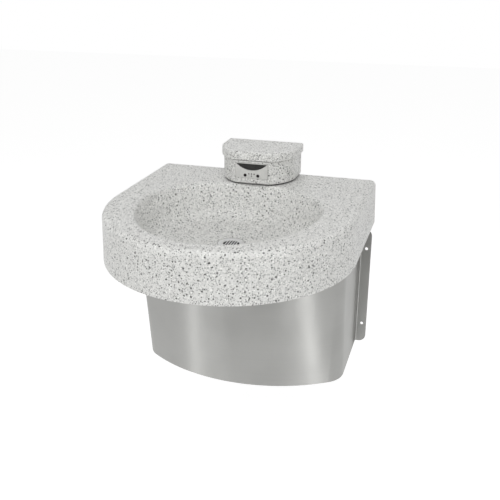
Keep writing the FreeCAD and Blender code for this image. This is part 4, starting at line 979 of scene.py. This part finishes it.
# node: head radius, head height, shank radius, pitch, axis from head to point for the left and right screws
SCREWS = {
    "skirt_screws": (5.6, 3.2, 3.0, 1.0, (0, 0, 1), (0, 0, 1)),
    "rail_screws": (5.2, 3.3, 3.0, 1.0, (-1, 0, 0), (1, 0, 0)),
    "strap_screws": (4.3, 2.8, 2.5, 0.8, (0, 1, 0), (0, 1, 0)),
}
for name, (head, rise, radius, pitch, left_axis, right_axis) in SCREWS.items():
    stacks = []
    for box in solid_boxes(name):
        axis = right_axis if box[0][0] > 0 else left_axis
        screw = button_screw(head, rise, radius, max(box[1] - box[0]), pitch)
        stacks.append(stand(screw, box, axis))
    new_piece("button_" + name, stacks, "zinc_steel", "fixed", name)

# %% [markdown]
# ### Strainer
# The waste is a pressed flange on a threaded shank, which the locknut pulls down. A disc and a tube could be
# joined, but the real flange, shank and bore are one metal, so their section is one closed line turned round
# the drain: the dished flange falls with the square of the way in from its edge, and the edge is rolled.

# %% Strainer
STRAINER_EDGE, STRAINER_MOUTH = 33.0, 19.6
FLANGE, DISH, EDGE_ROLL, MOUTH_LIP = 2.5, 0.8, 1.2, 0.6
MOUTH_DEPTH = 0.5
SHANK, SHANK_BORE, SHANK_LENGTH, SHANK_PITCH = 23.0, 20.5, 52.0, 1.8
THREAD_TOP, RUN_OUT = 12.0, 1.0
FLANGE_RINGS, ROLL_RINGS = 9, 5


def strainer_rings():
    """Flange, shank and bore as one closed section, with heights above the flange's underside.

    The top is FLANGE high, less DISH times the square of the way in from the rolled edge.
    """
    way = np.linspace(0.0, 1.0, FLANGE_RINGS)
    inner, outer = STRAINER_MOUTH + MOUTH_LIP, STRAINER_EDGE - EDGE_ROLL
    top = list(zip(inner + (outer - inner) * way, FLANGE - DISH * (1 - way) ** 2))
    quarter = np.linspace(0.0, np.pi / 2, ROLL_RINGS)[1:]
    rolled = list(zip(outer + EDGE_ROLL * np.sin(quarter), FLANGE - EDGE_ROLL * (1 - np.cos(quarter))))
    under = [(STRAINER_EDGE, 0.0), (SHANK, 0.0), (SHANK, -THREAD_TOP)]
    turns = thread(SHANK, THREAD_TOP + RUN_OUT, SHANK_LENGTH - RUN_OUT, SHANK_PITCH)
    wound = [(radius, -level) for radius, level in turns]
    foot = [(SHANK - SHANK_PITCH, -SHANK_LENGTH), (SHANK_BORE, -SHANK_LENGTH)]
    bore = [(SHANK_BORE, 0.0), (STRAINER_MOUTH, 0.0), (STRAINER_MOUTH, FLANGE - DISH - MOUTH_DEPTH)]
    return lathe(top + rolled + under + wound + foot + bore)


strainer_box = solid_boxes("drain_strainer")[0]
drain = (strainer_box[0] + strainer_box[1]) / 2
drain[2] = strainer_box[1][2] - FLANGE
new_piece("dished_strainer", [strainer_rings() + drain], "strainer_steel", "fixed", "drain_strainer",
          wrap=True)

# %% [markdown]
# ### Strainer bars
# Bars across the mouth hold back what would block the trap. Slots could be cut into a disc, but rods across
# an open mouth have the soft edges that catch the light. Each is a softly squared section carried along a
# straight path and cut to the round mouth.

# %% Bars across the strainer
BAR_COUNT, BAR_PITCH, BAR_HALF_WIDTH = 5, 6.2, 1.5
BAR_HALF_HEIGHT = (FLANGE - DISH) / 2
BAR_SEAT = 0.8


def soft_bar(half_width, half_height, length, columns=24, power=3.0):
    """Rod along Y, its section a superellipse: cosine and sine raised to two over the power."""
    turn = np.linspace(0.0, 2.0 * np.pi, columns, endpoint=False)
    across = half_width * np.sign(np.cos(turn)) * np.abs(np.cos(turn)) ** (2 / power)
    up = half_height * np.sign(np.sin(turn)) * np.abs(np.sin(turn)) ** (2 / power)
    reach = np.array([-0.5, -0.5, 0.5, 0.5])[:, None] * length
    size = np.array([0.0, 1.0, 1.0, 0.0])[:, None]
    return np.stack([across * size, np.broadcast_to(reach, (4, columns)), up * size], axis=-1)


bars = []
for number in range(BAR_COUNT):
    x = (number - (BAR_COUNT - 1) / 2) * BAR_PITCH
    length = 2 * math.sqrt((STRAINER_MOUTH + BAR_SEAT) ** 2 - x ** 2)
    bars.append(soft_bar(BAR_HALF_WIDTH, BAR_HALF_HEIGHT, length) + drain + (x, 0.0, BAR_HALF_HEIGHT))
new_piece("strainer_bars", bars, "strainer_steel", "fixed", "drain_strainer")

# %% [markdown]
# ### Lenses
# The two eyes and the small lights are moulded windows that stand a hair proud of the plate. A flattened
# ball could stand in for one, but would lack the wall that fits its hole. As rings, each is a short
# cylinder with a domed front, which falls with the square of the way out from the middle.

# %% Domed lenses
LENS_RINGS = 9
LENS_RISE = {"sensor_lenses": 0.7, "indicator_lights": 0.4}


def lens(radius, depth, rise):
    """Disc drawn from its back: a wall, then a front that stands rise (1 - share squared) above the wall."""
    dome = [(radius * share, depth - rise * share ** 2) for share in np.linspace(1.0, 0.0, LENS_RINGS)]
    return lathe([(0.0, 0.0), (radius, 0.0)] + dome)


for name, rise in LENS_RISE.items():
    stacks = []
    for box in solid_boxes(name):
        width, depth, _ = box[1] - box[0]
        stacks.append(stand(lens(width / 2, depth, rise), box, (0, -1, 0)))
    new_piece("domed_" + name, stacks, "dark_lens", "fixed", name)

# %% [markdown]
# ### Return spring
# The plunger is pushed home by a wound spring with closed ends: the end turns lie almost on each other, the
# others are evenly open. A curve with a round bevel could be wound the same way, but rings already make a
# closed piece: a ring of wire stands across a helix at every step and shrinks to a point at both ends; the
# helix's height follows the turns through four knots. In the real valve the spring closes up towards its
# fixed end when the plunger lifts; here it keeps one length.

# %% Wound spring
SPRING_OUTER, SPRING_WIRE, SPRING_TURNS = 4.2, 0.45, 9
CLOSED_TURN = 3.3
STEPS_PER_TURN, WIRE_POINTS = 28, 14


def wound_spring(outer, wire, length, turns):
    """Rings of wire, a radius, across a helix: angle grows evenly, height by knots at the closed ends."""
    steps = np.linspace(0.0, turns, STEPS_PER_TURN * turns + 1)
    steps = np.concatenate([steps[:1], steps, steps[-1:]])
    size = np.ones(len(steps))
    size[[0, -1]] = 0.0
    closed = CLOSED_TURN * wire
    height = np.interp(steps, [0, 1, turns - 1, turns], [wire, closed, length - closed, length - wire])
    angle = 2 * np.pi * steps
    outward = np.stack([np.cos(angle), np.sin(angle), 0 * angle], axis=-1)
    path = outward * (outer - wire) + np.stack([0 * angle, 0 * angle, height], axis=-1)
    around = np.linspace(0.0, 2.0 * np.pi, WIRE_POINTS, endpoint=False)[None, :, None]
    section = np.cos(around) * outward[:, None] + np.sin(around) * np.array([0.0, 0.0, 1.0])
    return path[:, None] + wire * size[:, None, None] * section


spring_box = solid_boxes("plunger_spring")[0]
spring_length = spring_box[1][1] - spring_box[0][1]
coil = wound_spring(SPRING_OUTER, SPRING_WIRE, spring_length, SPRING_TURNS)
spring = new_piece("wound_plunger_spring", [stand(coil, spring_box, (0, 1, 0))],
                   "sleeve_steel", "fixed", "plunger_spring")
spring_foot = (spring_box[0] + spring_box[1]) / 2
spring_foot[1] = spring_box[0][1]
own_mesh(spring)
